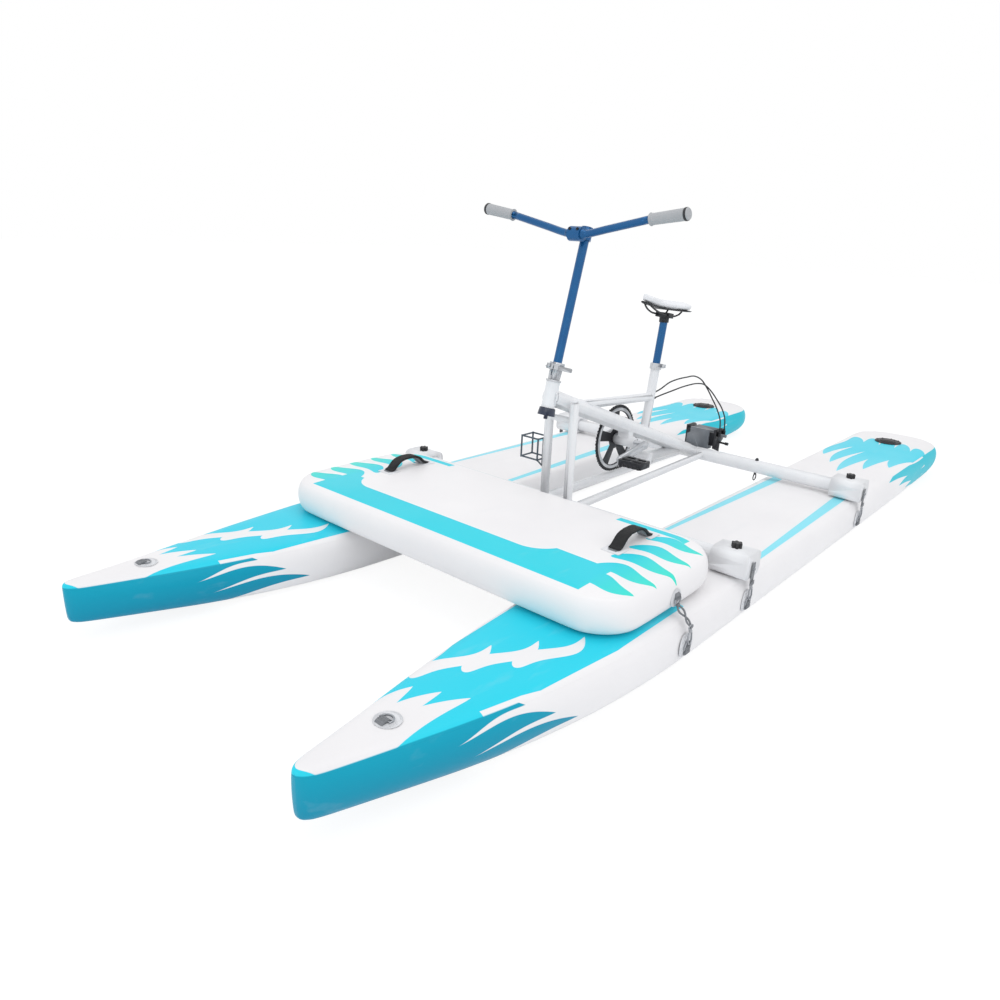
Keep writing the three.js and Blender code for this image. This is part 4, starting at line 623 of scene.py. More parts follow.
# %% Paints, mouldings and metals
frame_paint = rigid_finish("white frame paint", (238, 239, 240), (226, 228, 231), (200, 204, 208), 0.30,
                           grain=260, depth=0.00025, coat=0.2)
plate_paint = rigid_finish("grey plate paint", (128, 133, 139), (112, 118, 124), (168, 172, 176), 0.40,
                           grain=420, depth=0.0003, coat=0.1)
navy_paint = rigid_finish("navy paint", (20, 30, 50), (30, 44, 70), (90, 100, 120), 0.34, coat=0.2)
blue_anodised = rigid_finish("blue anodised", (4, 76, 132), (12, 96, 150), (70, 130, 170), 0.25,
                             grain=900, depth=0.0001, metallic=0.40, coat=0.10)
moulded_white = rigid_finish("moulded white", (238, 239, 240), (226, 228, 231), (205, 208, 212), 0.46,
                             grain=1400, depth=0.0003)
black_plastic = rigid_finish("black moulding", (26, 27, 30), (38, 39, 43), (92, 94, 98), 0.48,
                             grain=1500, depth=0.0003)
grip_rubber = rigid_finish("pale grip rubber", (178, 180, 182), (164, 167, 170), (200, 202, 204), 0.62,
                           grain=1700, depth=0.0004)
cable_casing = rigid_finish("cable casing", (24, 25, 27), (36, 37, 40), (74, 76, 80), 0.38, grain=1600)
dark_wire = rigid_finish("coated dark wire", (52, 66, 78), (72, 88, 100), (120, 130, 140), 0.42, coat=0.2)
black_steel = rigid_finish("black plated steel", (44, 45, 48), (64, 65, 69), (140, 142, 146), 0.33,
                           grain=1100, metallic=0.75)
brushed_steel = rigid_finish("stainless steel", (176, 179, 184), (148, 151, 157), (214, 216, 219), 0.30,
                             grain=1300, metallic=0.9)
pale_alloy = rigid_finish("pale alloy", (206, 208, 211), (186, 189, 194), (232, 233, 235), 0.33,
                          grain=1200, metallic=0.7)
grey_cast = rigid_finish("grey cast housing", (124, 129, 134), (104, 109, 115), (176, 180, 184), 0.52,
                         grain=700, depth=0.0006, metallic=0.25)
print("rigid finishes ready")

# %% [markdown]
# ## Finishes of webbing, patches and the seat cover
# Webbing is woven, so its finish has a fine net of threads, with painted shade darkening the gaps between
# them.
# The seat cover is a soft sheet with leather-like cells.

# %% Woven finishes
def woven(name, light, dark, pitch):
    material, surface, place = new_material(name)
    across, along, upward = [calc("SINE", axis * (2 * math.pi / pitch)) for axis in axes_of(place)]
    weave = (across + along) * (upward + 1.2)
    wear = noise(place, 45.0, 4.0)
    # Painted shade: the colour goes towards the dark tone in the gaps between threads, where the weave dips.
    tone = blend_colours(ramp(weave, -2.0, 2.0), linear(*dark), linear(*light))
    feed(blend_colours(wear * 0.3, tone, linear(*light)), surface["Base Color"])
    feed(ramp(wear, 0.3, 0.7, 0.72, 0.88), surface["Roughness"])
    relief(surface, weave, 0.0004, 0.6)
    return material


black_webbing = woven("black webbing", (30, 31, 34), (14, 14, 16), 0.0022)
grey_webbing = woven("grey webbing", (150, 153, 157), (96, 99, 104), 0.0020)
patch_cloth = woven("white patch", (236, 237, 239), (216, 219, 223), 0.0016)
print("woven finishes ready")

# %% [markdown]
# The cover's grain is a pattern of small cells with soft borders. Noise alone
# would look like sand, so the cells come from the distance to a cell's edge.

# %% Seat cover
seat_cover, surface, place = new_material("pale seat cover")
cells = place.tree.nodes.new("ShaderNodeTexVoronoi")
cells.feature = "DISTANCE_TO_EDGE"
cells.inputs["Scale"].default_value = 520.0
feed(place, cells.inputs["Vector"])
pores = ramp(Reading(place.tree, cells.outputs[0]), 0.0, 0.25)
cloud = noise(place, 14.0, 3.0)
feed(blend_colours(cloud, linear(240, 241, 243), linear(224, 226, 229)), surface["Base Color"])
feed(ramp(cloud, 0.3, 0.7, 0.46, 0.60), surface["Roughness"])
relief(surface, calc("MULTIPLY_ADD", cloud, 0.4, pores), 0.0003, 0.5)
print("seat cover ready")

# %% [markdown]
# ## Copies of the rigid parts
# A part whose shape is right keeps it. Its triangles come in loose, so a copy
# is merged and shaded smooth across its rounds, while its true edges stay
# sharp. The copy takes the part's place in the picture.

# %% Select, name and shade
def select_only(piece):
    bpy.ops.object.select_all(action="DESELECT")
    piece.select_set(True)
    bpy.context.view_layer.objects.active = piece


def named(piece, name):
    piece.name = name
    piece.data.name = name
    return piece


def enter_edit(piece):
    select_only(piece)
    bpy.ops.object.mode_set(mode="EDIT")
    bpy.ops.mesh.select_all(action="SELECT")


def leave_edit():
    bpy.ops.object.mode_set(mode="OBJECT")


def smooth_rounds(piece, angle):
    select_only(piece)
    bpy.ops.object.shade_smooth_by_angle(angle=math.radians(angle))
    return piece


print("first tools ready")

# %% [markdown]
# A copy drops the labels of the part it comes from, and keeps its place.

# %% Copy of a rigid part
MERGE_GAP = 0.00001


def merged_copy(node, name):
    select_only(frame["nodes"][node])
    bpy.ops.object.duplicate()
    piece = named(bpy.context.object, name)
    for key in list(piece.keys()):
        del piece[key]
    select_only(piece)
    bpy.ops.object.parent_clear(type="CLEAR_KEEP_TRANSFORM")
    enter_edit(piece)
    bpy.ops.mesh.remove_doubles(threshold=MERGE_GAP)
    leave_edit()
    return piece


def stand_for(piece, body, finish, slot, *nodes):
    piece.data.materials.clear()
    piece.data.materials.append(finish)
    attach(piece, body)
    if nodes:
        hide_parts(*nodes)
    return piece


print("copy helpers ready")

# %% [markdown]
# ## The hulls
# Each hull is a long inflated skin over drop stitches: a flat deck, a round
# wall and a bow pinched together at the tip. Its rigid form has few rings, so
# a merged copy gets more rings along the waist and a subdivision surface that
# rounds the deck edge. The form stays the same, and the print needs no seams.

# %% Hulls
def apply_modifier(piece, kind, **settings):
    select_only(piece)
    step = piece.modifiers.new(kind.lower(), kind)
    for name, value in settings.items():
        setattr(step, name, value)
    bpy.ops.object.modifier_apply(modifier=step.name)


def pick_long_edges(piece, least):
    """Picks the edges that run along the hull and are longer than the least."""
    for edge in piece.data.edges:
        first, second = [piece.data.vertices[i].co for i in edge.vertices]
        step = second - first
        edge.select = abs(step.y) > least and abs(step.y) > 0.8 * step.length


def rounded_skin(node, name, rows):
    piece = merged_copy(node, name)
    enter_edit(piece)
    flat_enough = math.radians(60)
    bpy.ops.mesh.tris_convert_to_quads(face_threshold=flat_enough, shape_threshold=flat_enough)
    bpy.ops.mesh.select_mode(type="EDGE")
    bpy.ops.mesh.select_all(action="DESELECT")
    leave_edit()
    for least, cuts in rows:
        pick_long_edges(piece, least)
        bpy.ops.object.mode_set(mode="EDIT")
        bpy.ops.mesh.subdivide(number_cuts=cuts)
        bpy.ops.mesh.select_all(action="DESELECT")
        leave_edit()
    apply_modifier(piece, "SUBSURF", levels=2, render_levels=2)
    bpy.ops.object.shade_smooth()
    return piece


for side, hand in SIDES:
    hull = rounded_skin("hull_" + side, "hull_skin_" + side, [(0.4, 4), (0.09, 1)])
    stand_for(hull, "hull_and_frame", hull_skin, "hull_skin", "hull_" + side)
    print(hull.name, len(hull.data.polygons), "faces")

# %% [markdown]
# ## The front pad
# The pad lies across both decks like a mattress. It is made in the same way,
# from the rigid form, with a crown on top and round side walls.

# %% Front pad
pad = rounded_skin("front_platform", "front_pad_skin", [])
stand_for(pad, "hull_and_frame", pad_skin, "platform_skin", "front_platform")
print(pad.name, len(pad.data.polygons), "faces")

# %% [markdown]
# ## Parts that keep their form
# Tubes, clamps, plates and castings are already right. Each gets a smooth
# copy and its finish. One table says on which body each part rides.

# %% Finished copies
HOLDERS = [f"saddle_{end}_{side}" for end in ("front", "rear") for side, hand in SIDES]
SAME_FORM = [
    ("hull_and_frame", frame_paint, "frame_paint",
     ["front_crossbar", "rear_crossbar", "main_tube", "head_tube", "seat_tube",
      "top_tube", "front_legs", "lower_rail_port", "lower_rail_starboard", "drive_tube"]),
    ("hull_and_frame", plate_paint, "frame_paint", ["rear_mount"]),
    ("hull_and_frame", moulded_white, "moulded", HOLDERS),
    ("hull_and_frame", pale_alloy, "alloy", ["seat_clamp_collar"]),
    ("hull_and_frame", black_steel, "black_steel", ["tilt_bracket"]),
    ("hull_and_frame", dark_wire, "dark_wire", ["bottle_cage"]),
    ("steering", navy_paint, "navy", ["steerer_crown"]),
    ("steering", pale_alloy, "alloy", ["stem_clamp_collar"]),
    ("stem", blue_anodised, "blue_anodised", ["stem_tube", "bar_clamp", "handlebar"]),
    ("stem_lever", pale_alloy, "alloy", ["stem_lever"]),
    ("seat_lever", pale_alloy, "alloy", ["seat_lever"]),
    ("seat", blue_anodised, "blue_anodised", ["seat_post"]),
    ("seat", black_plastic, "black", ["saddle_clamp", "saddle_shell"]),
    ("crankset", pale_alloy, "alloy", ["crank_port", "crank_starboard", "chain_guard_ring"]),
    ("crankset", black_steel, "black_steel", ["chainwheel"]),
    ("sprocket", brushed_steel, "steel", ["jackshaft_sprocket"]),
    ("tilt_block", grey_cast, "grey_cast", ["tilt_block"]),
    ("gear_head", grey_cast, "grey_cast", ["gear_head"]),
    ("output", brushed_steel, "steel", ["output_coupling"]),
    ("hull_and_frame", black_plastic, "black", ["valve_port", "valve_starboard"]),
    ("pedal_port", black_steel, "black_steel", ["pedal_port"]),
    ("pedal_starboard", black_steel, "black_steel", ["pedal_starboard"]),
]
finished = {}
for body, finish, slot, names in SAME_FORM:
    for name in names:
        copy = smooth_rounds(merged_copy(name, name + "_finished"), 35)
        finished[name] = stand_for(copy, body, finish, slot, name)
print(len(finished), "parts finished")

# %% [markdown]
# ## Two finishes on one part
# The star knobs on the bar holders are black, and so are the eye bolts of the
# rear bar. Both belong to parts that are otherwise white, so the faces of the
# knobs and eyes get a second material.

# %% Knobs and eye bolts
def second_finish(piece, finish, picked):
    piece.data.materials.append(finish)
    faces = [face for face in piece.data.polygons if picked(face.center)]
    for face in faces:
        face.material_index = 1
    return len(faces)


KNOB_HEIGHT = 0.0155
BAR_WALL = 0.0282
knob_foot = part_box("saddle_front_port")[1].z - KNOB_HEIGHT
bar_height = centre_of("front_crossbar").z
rear_bar = centre_of("rear_crossbar").y
knob_faces = sum(second_finish(finished[name], black_plastic, lambda c: c.z > knob_foot) for name in HOLDERS)
eye_faces = second_finish(finished["rear_crossbar"], black_steel,
                          lambda c: math.hypot(c.y - rear_bar, c.z - bar_height) > BAR_WALL)
print(knob_faces, "knob faces,", eye_faces, "eye faces")

# %% [markdown]
# ## Small modelling tools
# Pieces of this machine are made from three kinds of stock: round wire, flat
# strap and turned parts. Each tool starts from a primitive, and the pieces
# are named, joined and copied in the same few ways.

# %% Take, settle, join and copy
def take_primitive(add, name, **given):
    bpy.ops.object.select_all(action="DESELECT")
    add(**given)
    return named(bpy.context.object, name)


def settle(piece):
    select_only(piece)
    bpy.ops.object.transform_apply(location=True, rotation=True, scale=True)
    return piece


def outward(piece):
    enter_edit(piece)
    bpy.ops.mesh.remove_doubles(threshold=MERGE_GAP)
    bpy.ops.mesh.normals_make_consistent(inside=False)
    leave_edit()


def join_as(name, pieces):
    select_only(pieces[0])
    for piece in pieces:
        piece.select_set(True)
    if len(pieces) > 1:
        bpy.ops.object.join()
    return named(pieces[0], name)


def copy_of(piece, name, move=(0, 0, 0), turn=(0, 0, 0), size=1, mirrored=False):
    select_only(piece)
    bpy.ops.object.duplicate()
    copy = named(bpy.context.object, name)
    copy.rotation_euler = turn
    copy.location = move
    copy.scale = (-size if mirrored else size, size, size)
    settle(copy)
    if mirrored:
        outward(copy)
    return copy


print("copying tools ready")

# %% [markdown]
# ### Round wire
# A wire is a line with a round thickness. It is drawn as a curve, because a
# curve keeps its section even round tight bends, and turned into a mesh.

# %% Wire
def wire(name, points, radius, sides=8, closed=False):
    piece = take_primitive(bpy.ops.curve.primitive_bezier_curve_add, name)
    curve = piece.data
    curve.splines.clear()
    line = curve.splines.new("POLY")
    line.points.add(len(points) - 1)
    for dot, place in zip(line.points, points):
        dot.co = (*place, 1)
    line.use_cyclic_u = closed
    curve.dimensions = "3D"
    curve.bevel_depth = radius
    curve.bevel_resolution = sides // 2 - 2
    curve.use_fill_caps = not closed
    bpy.ops.object.convert(target="MESH")
    piece = bpy.context.object
    piece.name = name
    outward(piece)
    return smooth_rounds(piece, 50)


def circle_dots(count, radius, start=0.0):
    """Pairs of (across, up), evenly spaced round a circle."""
    turns = [start + 2 * math.pi * i / count for i in range(count)]
    return [(radius * math.cos(turn), radius * math.sin(turn)) for turn in turns]


print("wire ready")

# %% [markdown]
# ### Flat strap
# A strap is one edge that is pulled from point to point, then given its
# thickness and soft edges. All its bends are across the width, as in webbing.

# %% Strap
def soften_edges(piece, width, angle=35):
    apply_modifier(piece, "BEVEL", width=width, segments=2, limit_method="ANGLE",
                   angle_limit=math.radians(angle))
    return smooth_rounds(piece, angle)


def strap_along(name, points, across, width, thickness):
    half = Vector(across) * width / 2
    points = [Vector(point) for point in points]
    piece = take_primitive(bpy.ops.mesh.primitive_plane_add, name, size=1)
    corners = [points[0] - half, points[0] + half, points[1] - half, points[1] + half]
    for dot, corner in zip(piece.data.vertices, corners):
        dot.co = corner
    for before, after in zip(points[1:], points[2:]):
        leave_edit()
        for dot in piece.data.vertices:
            dot.select = min((dot.co - before - half).length, (dot.co - before + half).length) < 0.00005
        bpy.ops.object.mode_set(mode="EDIT")
        bpy.ops.mesh.select_mode(type="VERT")
        bpy.ops.mesh.extrude_region_move(TRANSFORM_OT_translate={"value": after - before})
    leave_edit()
    outward(piece)
    apply_modifier(piece, "SOLIDIFY", thickness=thickness, offset=0)
    return soften_edges(piece, thickness * 0.3, 50)


print("strap ready")

# %% [markdown]
# ### Turned parts
# A turned part is a profile that is spun round, like work on a lathe. The
# profile starts as one point and is pulled from step to step.

# %% Turned part
def heading(axis):
    return Vector(axis).to_track_quat("Z", "Y").to_euler()


def turned(name, profile, sides, start=(0, 0, 0), axis=(0, 0, 1)):
    """A profile of (radius, height) pairs, spun round and set on an axis."""
    piece = take_primitive(bpy.ops.mesh.primitive_circle_add, name, vertices=3, radius=1)
    enter_edit(piece)
    bpy.ops.mesh.select_mode(type="VERT")
    bpy.ops.mesh.select_all(action="SELECT")
    bpy.ops.mesh.merge(type="CENTER")
    bpy.ops.transform.translate(value=(profile[0][0], 0, profile[0][1]))
    for (radius, height), (next_radius, next_height) in zip(profile, profile[1:]):
        step = (next_radius - radius, 0, next_height - height)
        bpy.ops.mesh.extrude_region_move(TRANSFORM_OT_translate={"value": step})
    bpy.ops.mesh.select_all(action="SELECT")
    bpy.ops.mesh.spin(steps=sides, angle=2 * math.pi, center=(0, 0, 0), axis=(0, 0, 1))
    leave_edit()
    outward(piece)
    smooth_rounds(piece, 40)
    piece.rotation_euler = heading(axis)
    piece.location = start
    return settle(piece)


bolt = turned("bolt_head", [(0, 0.0004), (0.0022, 0.0006), (0.0024, 0.0030), (0.0036, 0.0034),
                            (0.0044, 0.0028), (0.0046, 0), (0, 0)], 12)
print("bolt head", [round(c, 4) for c in bolt.dimensions])

# %% [markdown]
# ## Weld beads
# The tubes are welded, and a bead runs round each joint. Where one round tube
# meets another, the seam is the line on the first tube that lies on the second
# one's wall. Each point of it comes from a short sum, and a wire follows them.

# %% Weld beads
BEAD_RADIUS = 0.0026
MAIN_RADIUS, HEAD_RADIUS, SEAT_RADIUS, TOP_RADIUS = 0.029, 0.023, 0.018, 0.017


def bead_points(tube, radius, wall, wall_radius, count=28):
    start, end = [Vector(place) for place in tube]
    wall_start, wall_end = [Vector(place) for place in wall]
    axis = (end - start).normalized()
    wall_axis = (wall_end - wall_start).normalized()
    first = axis.orthogonal().normalized()
    second = axis.cross(first)
    across = axis - wall_axis * axis.dot(wall_axis)
    points = []
    for i in range(count):
        turn = 2 * math.pi * i / count
        ripple = 1 + 0.012 * math.sin(turn * 9)
        place = start + (first * math.cos(turn) + second * math.sin(turn)) * radius * ripple
        offset = place - wall_start
        offset -= wall_axis * offset.dot(wall_axis)
        a, b = across.dot(across), across.dot(offset)
        room = b * b - a * (offset.dot(offset) - wall_radius ** 2)
        points.append(place + axis * ((-b + math.sqrt(max(room, 0))) / a))
    return points


HEAD_LINE = ((0, -0.5466, 0.5530), (0, -0.5243, 0.6381))
MAIN_LINE = ((0, -0.5371, 0.5894), (0, rear_bar, bar_height))
SEAT_LINE = ((0, 0.103, 0.3592), (0, 0.1403, 0.6246))
TOP_LINE = ((0, -0.3991, 0.5398), (0, 0.1235, 0.5048))
WELDS = [
    ("main_at_head", MAIN_LINE, MAIN_RADIUS, HEAD_LINE, HEAD_RADIUS),
    ("seat_at_main", SEAT_LINE, SEAT_RADIUS, MAIN_LINE, MAIN_RADIUS),
    ("top_at_seat", TOP_LINE[::-1], TOP_RADIUS, SEAT_LINE, SEAT_RADIUS),
    ("top_at_main", TOP_LINE, TOP_RADIUS, MAIN_LINE, MAIN_RADIUS),
]
beads = [wire("weld_" + name, bead_points(*rest), BEAD_RADIUS, closed=True) for name, *rest in WELDS]
welds = stand_for(join_as("weld_beads", beads), "hull_and_frame", frame_paint, "frame_paint")
print(len(beads), "beads", [round(c, 3) for c in welds.dimensions])

# %% [markdown]
# ## Hold-down straps
# At each end of a bar, and of the pad, a strap pulls down to the hull's side.
# A round patch is glued to the hull and holds a ring; a snap hook goes through
# the ring, and webbing rises from it. The set is made once for the port side.
# The hull's wall is round, so the flat patch is bent back to it.

# %% Patch and ring
HULL_FACE = hull_high.x + 0.0003
RING_FACE = HULL_FACE + 0.005
HULL_MID = DECK_HEIGHT / 2
HULL_BULGE = 0.042
WEB_WIDTH, WEB_THICKNESS = 0.022, 0.0018


def ring_outline(y, z, radius, hang=1):
    """A ring with one flat side, as pairs; hang is 1 when the round side is up."""
    arc = [math.pi * i / 10 for i in range(11)]
    round_side = [(y + radius * math.cos(turn), z + hang * radius * math.sin(turn)) for turn in arc]
    return round_side + [(y - radius, z - hang * 0.004), (y + radius, z - hang * 0.004)]


def wall_ring(name, x, z, radius, thickness, hang=1):
    outline = [(x, across, up) for across, up in ring_outline(0, z, radius, hang)]
    return wire(name, outline, thickness, closed=True)


def round_patch(name, place, axis, radius):
    profile = [(0, 0.0021), (radius * 0.78, 0.0020), (radius * 0.82, 0.0014), (radius * 0.86, 0.0020),
               (radius * 0.95, 0.0016), (radius, 0.0006), (radius, -0.0006), (0, -0.0006)]
    return turned(name, profile, 40, place, axis)


def side_web(name, out, up, steps, width=WEB_WIDTH):
    """Webbing that lies along a side wall; each step is out from the wall and up."""
    points = [(out + further, 0, up + higher) for further, higher in steps]
    return strap_along(name, points, (0, 1, 0), width, WEB_THICKNESS)


hull_patch = round_patch("hull_patch", (HULL_FACE, 0, HULL_MID), (1, 0, 0), 0.035)
for dot in hull_patch.data.vertices:
    lean = math.asin(max(-1, min(1, (dot.co.z - HULL_MID) / HULL_MID)))
    dot.co.x -= HULL_BULGE * (1 - math.cos(lean))
hull_ring = wall_ring("hull_ring", RING_FACE, HULL_MID - 0.002, 0.0155, 0.0023)
tab = side_web("ring_tab", RING_FACE, HULL_MID, [
    (-0.0032, -0.026), (-0.0030, -0.014), (0.0026, -0.0105), (0.0036, -0.006), (0.0022, -0.0015),
    (-0.0026, 0.002),
])
print("patch", [round(c, 4) for c in hull_patch.dimensions])

# %% [markdown]
# A snap hook is a closed wire loop with a sprung gate, a turned swivel and an eye
# for the webbing. It is joined with the hull's ring, as one piece of bright metal.

# %% Snap hook
HOOK_LOW = 0.0855
HOOK_LEAN = 0.05
HOOK_LOOP = [(0, HOOK_LOW), (0.0065, 0.0875), (0.0090, 0.0950), (0.0092, 0.1110), (0.0050, 0.1200),
             (0, 0.1220), (-0.0050, 0.1200), (-0.0092, 0.1110), (-0.0090, 0.0950), (-0.0065, 0.0875)]

hook = wire("hook_loop", [(RING_FACE + 0.004 - HOOK_LEAN * (z - HOOK_LOW), y, z) for y, z in HOOK_LOOP],
            0.0022, closed=True)
gate = wire("hook_gate", [(RING_FACE + 0.0052, 0.0090, 0.0950), (RING_FACE + 0.0046, 0.0062, 0.1180)],
            0.0016, 6)
swivel = turned("hook_swivel", [(0, 0.1205), (0.0040, 0.1210), (0.0052, 0.1240), (0.0042, 0.1275),
                                (0.0030, 0.1300), (0, 0.1302)], 16, (RING_FACE + 0.0025, 0, 0))
eye_loop = wire("hook_eye", [(RING_FACE + 0.0022, 0.0115 * across, 0.1360 + 0.0062 * up)
                             for across, up in circle_dots(16, 1)], 0.0019, closed=True)
metal = join_as("strap_metal", [hull_ring, hook, gate, swivel, eye_loop])
print("hook set", [round(c, 4) for c in metal.dimensions])

# %% [markdown]
# At a bar the webbing passes through the eye, turns back on itself and climbs to
# the holder, where a rivet holds it.

# %% Straps of the bars
bar_web = side_web("bar_web", RING_FACE, 0, [
    (0.0042, 0.1480), (0.0042, 0.1350), (0.0020, 0.1310), (0.0002, 0.1350), (0.0004, 0.1480),
    (0.0006, 0.1930),
])
rivet = copy_of(bolt, "bar_rivet", (RING_FACE + 0.0012, 0, 0.1850), heading((1, 0, 0)), 1.3)
print("bar webbing", [round(c, 4) for c in bar_web.dimensions])

# %% [markdown]
# ### The twisted straps of the pad
# Under the pad two grey strands run down to the hook and cross halfway. Their
# distance follows a sine along the way, so they part and meet again. They hang
# from a ring under a small patch on the pad's wall.

# %% Straps of the pad
PAD_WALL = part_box("front_platform")[1].x
PAD_RING = Vector((PAD_WALL + 0.0075, 0, 0.1845))
HOOK_EYE = Vector((RING_FACE + 0.0022, 0, 0.1375))
PATCH_HEIGHT = 0.2030
STRAND_STEPS = 24

strands = []
for hand in (-1, 1):
    path = []
    for i in range(STRAND_STEPS + 1):
        gone = i / STRAND_STEPS
        swing = Vector((0.0035 * hand * math.sin(math.pi * gone),
                        0.0085 * hand * math.sin(2 * math.pi * gone), 0))
        path.append(PAD_RING.lerp(HOOK_EYE, gone) + swing)
    strands.append(wire("strand", path, 0.0027))
for name, end, drop in (("strand_end_top", PAD_RING, 0.0012), ("strand_end_low", HOOK_EYE, -0.001)):
    strands.append(wire(name, [end + Vector((0, y, drop)) for y in (-0.006, 0, 0.006)], 0.0036))
pad_web = join_as("pad_web", strands)
pad_patch = round_patch("pad_patch", (PAD_WALL - 0.0010, 0, PATCH_HEIGHT), (1, 0, 0), 0.026)
pad_ring = wall_ring("pad_ring", PAD_WALL + 0.0062, 0.1985, 0.0145, 0.0022, hang=-1)
pad_tab = side_web("pad_tab", PAD_WALL + 0.0015, PATCH_HEIGHT, [
    (-0.0010, 0.016), (0.0000, 0.006), (0.0048, 0.002), (0.0074, -0.001), (0.0050, -0.0045),
    (0.0006, -0.0060),
], 0.020)
print("pad strap", [round(c, 3) for c in pad_web.dimensions])

# %% [markdown]
# Each strap is a set of copies: patch, metal and webbing. The port set is moved
# along the hull, and the starboard one is its mirror image. A mirrored copy has
# its faces inside out, so they are turned outward again.

# %% Six straps from the set
for place in ("platform", "front", "rear"):
    for side, hand in SIDES:
        tag = f"_{place}_{side}"
        node = f"{place}_strap_{side}"
        patches, metals, webs = [hull_patch], [metal], [tab]
        if place == "platform":
            patches.append(pad_patch)
            metals.append(pad_ring)
            webs += [pad_web, pad_tab]
        else:
            metals.append(rivet)
            webs.append(bar_web)
        seat = (0, centre_of(node).y, 0)
        for kind, parts, finish, slot in (("patch", patches, patch_cloth, "platform_skin"),
                                          ("metal", metals, brushed_steel, "steel"),
                                          ("web", webs, grey_webbing, "webbing")):
            copies = [copy_of(part, part.name + tag, seat, mirrored=hand < 0) for part in parts]
            stand_for(join_as(f"strap_{kind}{tag}", copies), "hull_and_frame", finish, slot, node)
for spare in (hull_patch, metal, tab, bar_web, rivet, pad_web, pad_patch, pad_ring, pad_tab):
    bpy.data.objects.remove(spare)
print("six straps made")

# %% [markdown]
# ## Bow rings
# A ring lies flat on each bow in a round patch, under a short tab of webbing.
# The deck rises a little there, so the set leans with it.

# %% Bow rings
BOW_DECK = 0.1662
DECK_LEAN = -0.0359
BOW_TAB = [(-0.026, 0.0030), (-0.016, 0.0034), (-0.0085, 0.0078), (-0.0040, 0.0078), (0.0000, 0.0036)]


def seat_set(node, place, lean, rows):
    """Leans and places the pieces of one small set on the deck or pad."""
    for piece, finish, slot in rows:
        piece.rotation_euler = (lean, 0, 0)
        piece.location = place
        settle(piece)
        stand_for(piece, "hull_and_frame", finish, slot, node)


for side, hand in SIDES:
    node = "bow_ring_" + side
    middle = centre_of(node)
    patch = round_patch(node + "_patch", (0, 0, 0), (0, 0, 1), 0.031)
    outline = [(across, along - 0.004, 0.0042) for across, along in ring_outline(0, 0, 0.0155)]
    ring = wire(node + "_ring", outline, 0.0022, closed=True)
    tab = strap_along(node + "_tab", [(0, along, up) for along, up in BOW_TAB], (1, 0, 0), WEB_WIDTH, 0.0016)
    seat_set(node, (middle.x, middle.y, BOW_DECK), DECK_LEAN, (
        (patch, patch_cloth, "platform_skin"), (ring, brushed_steel, "steel"), (tab, grey_webbing, "webbing"),
    ))
print("bow rings made")

# %% [markdown]
# ## Carry handles on the pad
# Each handle is a padded black sleeve that arches over a grey strap. Both ends
# are sewn to square patches on the pad's top. The sleeve's path is a smooth
# line through a few heights, and soft edges make its section round.

# %% Smooth line
def smooth_path(points, steps):
    """More points on a soft line through the given ones."""
    points = [Vector(p) for p in points]
    path = []
    for i in range(len(points) - 1):
        before, here = points[max(i - 1, 0)], points[i]
        there, after = points[i + 1], points[min(i + 2, len(points) - 1)]
        for step in range(steps):
            t = step / steps
            path.append(0.5 * (2 * here + (there - before) * t
                               + (2 * before - 5 * here + 4 * there - after) * t * t
                               + (3 * here - before - 3 * there + after) * t ** 3))
    return path + [points[-1]]


def arch(heights):
    half = [Vector((0, y, z)) for y, z in heights]
    return smooth_path([Vector((0, -p.y, p.z)) for p in reversed(half[1:])] + half, 3)


print("smooth line ready")

# %% [markdown]
# Sleeve and strap follow the same kind of arch, one above the other. The patches
# are thin slabs with rounded edges, cut into a grid so that they shade evenly.

# %% Pad handles
HANDLE_FOOT = 0.00015
SLEEVE_LINE = [(0, 0.0400), (0.024, 0.0388), (0.046, 0.0318), (0.062, 0.0190), (0.074, 0.0080),
               (0.090, 0.0045)]
STRAP_LINE = [(0, 0.0338), (0.024, 0.0325), (0.044, 0.0252), (0.060, 0.0122), (0.072, 0.0032),
              (0.100, 0.0022)]


def sewn_patch(end):
    patch = take_primitive(bpy.ops.mesh.primitive_cube_add, "handle_patch", size=1,
                           location=(0, end * 0.086, 0.0002), scale=(0.062, 0.052, 0.0022))
    settle(patch)
    enter_edit(patch)
    bpy.ops.mesh.subdivide(number_cuts=3)
    leave_edit()
    return soften_edges(patch, 0.0008)


for side, hand in SIDES:
    node = "platform_handle_" + side
    middle = centre_of(node)
    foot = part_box(node)[0].z + HANDLE_FOOT
    sleeve = strap_along(node + "_sleeve", arch(SLEEVE_LINE), (1, 0, 0), 0.033, 0.0072)
    strap = strap_along(node + "_strap", arch(STRAP_LINE), (1, 0, 0), 0.027, 0.0020)
    patches = join_as(node + "_patches", [sewn_patch(end) for end in (-1, 1)])
    seat_set(node, (middle.x, middle.y, foot), 0, (
        (sleeve, black_webbing, "webbing"), (strap, grey_webbing, "webbing"),
        (patches, patch_cloth, "platform_skin"),
    ))
print("handles made")

# %% [markdown]
# ## Grips
# A grip is a rubber sleeve with rounded ribs, a flange towards the rider's
# thumb and a black ring at the end. It is a turned part: one profile with a
# wave in it, spun round the bar's axis.

# %% Grips
GRIP_START = Vector((0.26831, -0.4533, 1.15704))
GRIP_AXIS = Vector((0.98915, 0, 0.14681))
BAR_RADIUS = 0.0126
RIBS, RIB_STEPS = 16, 63

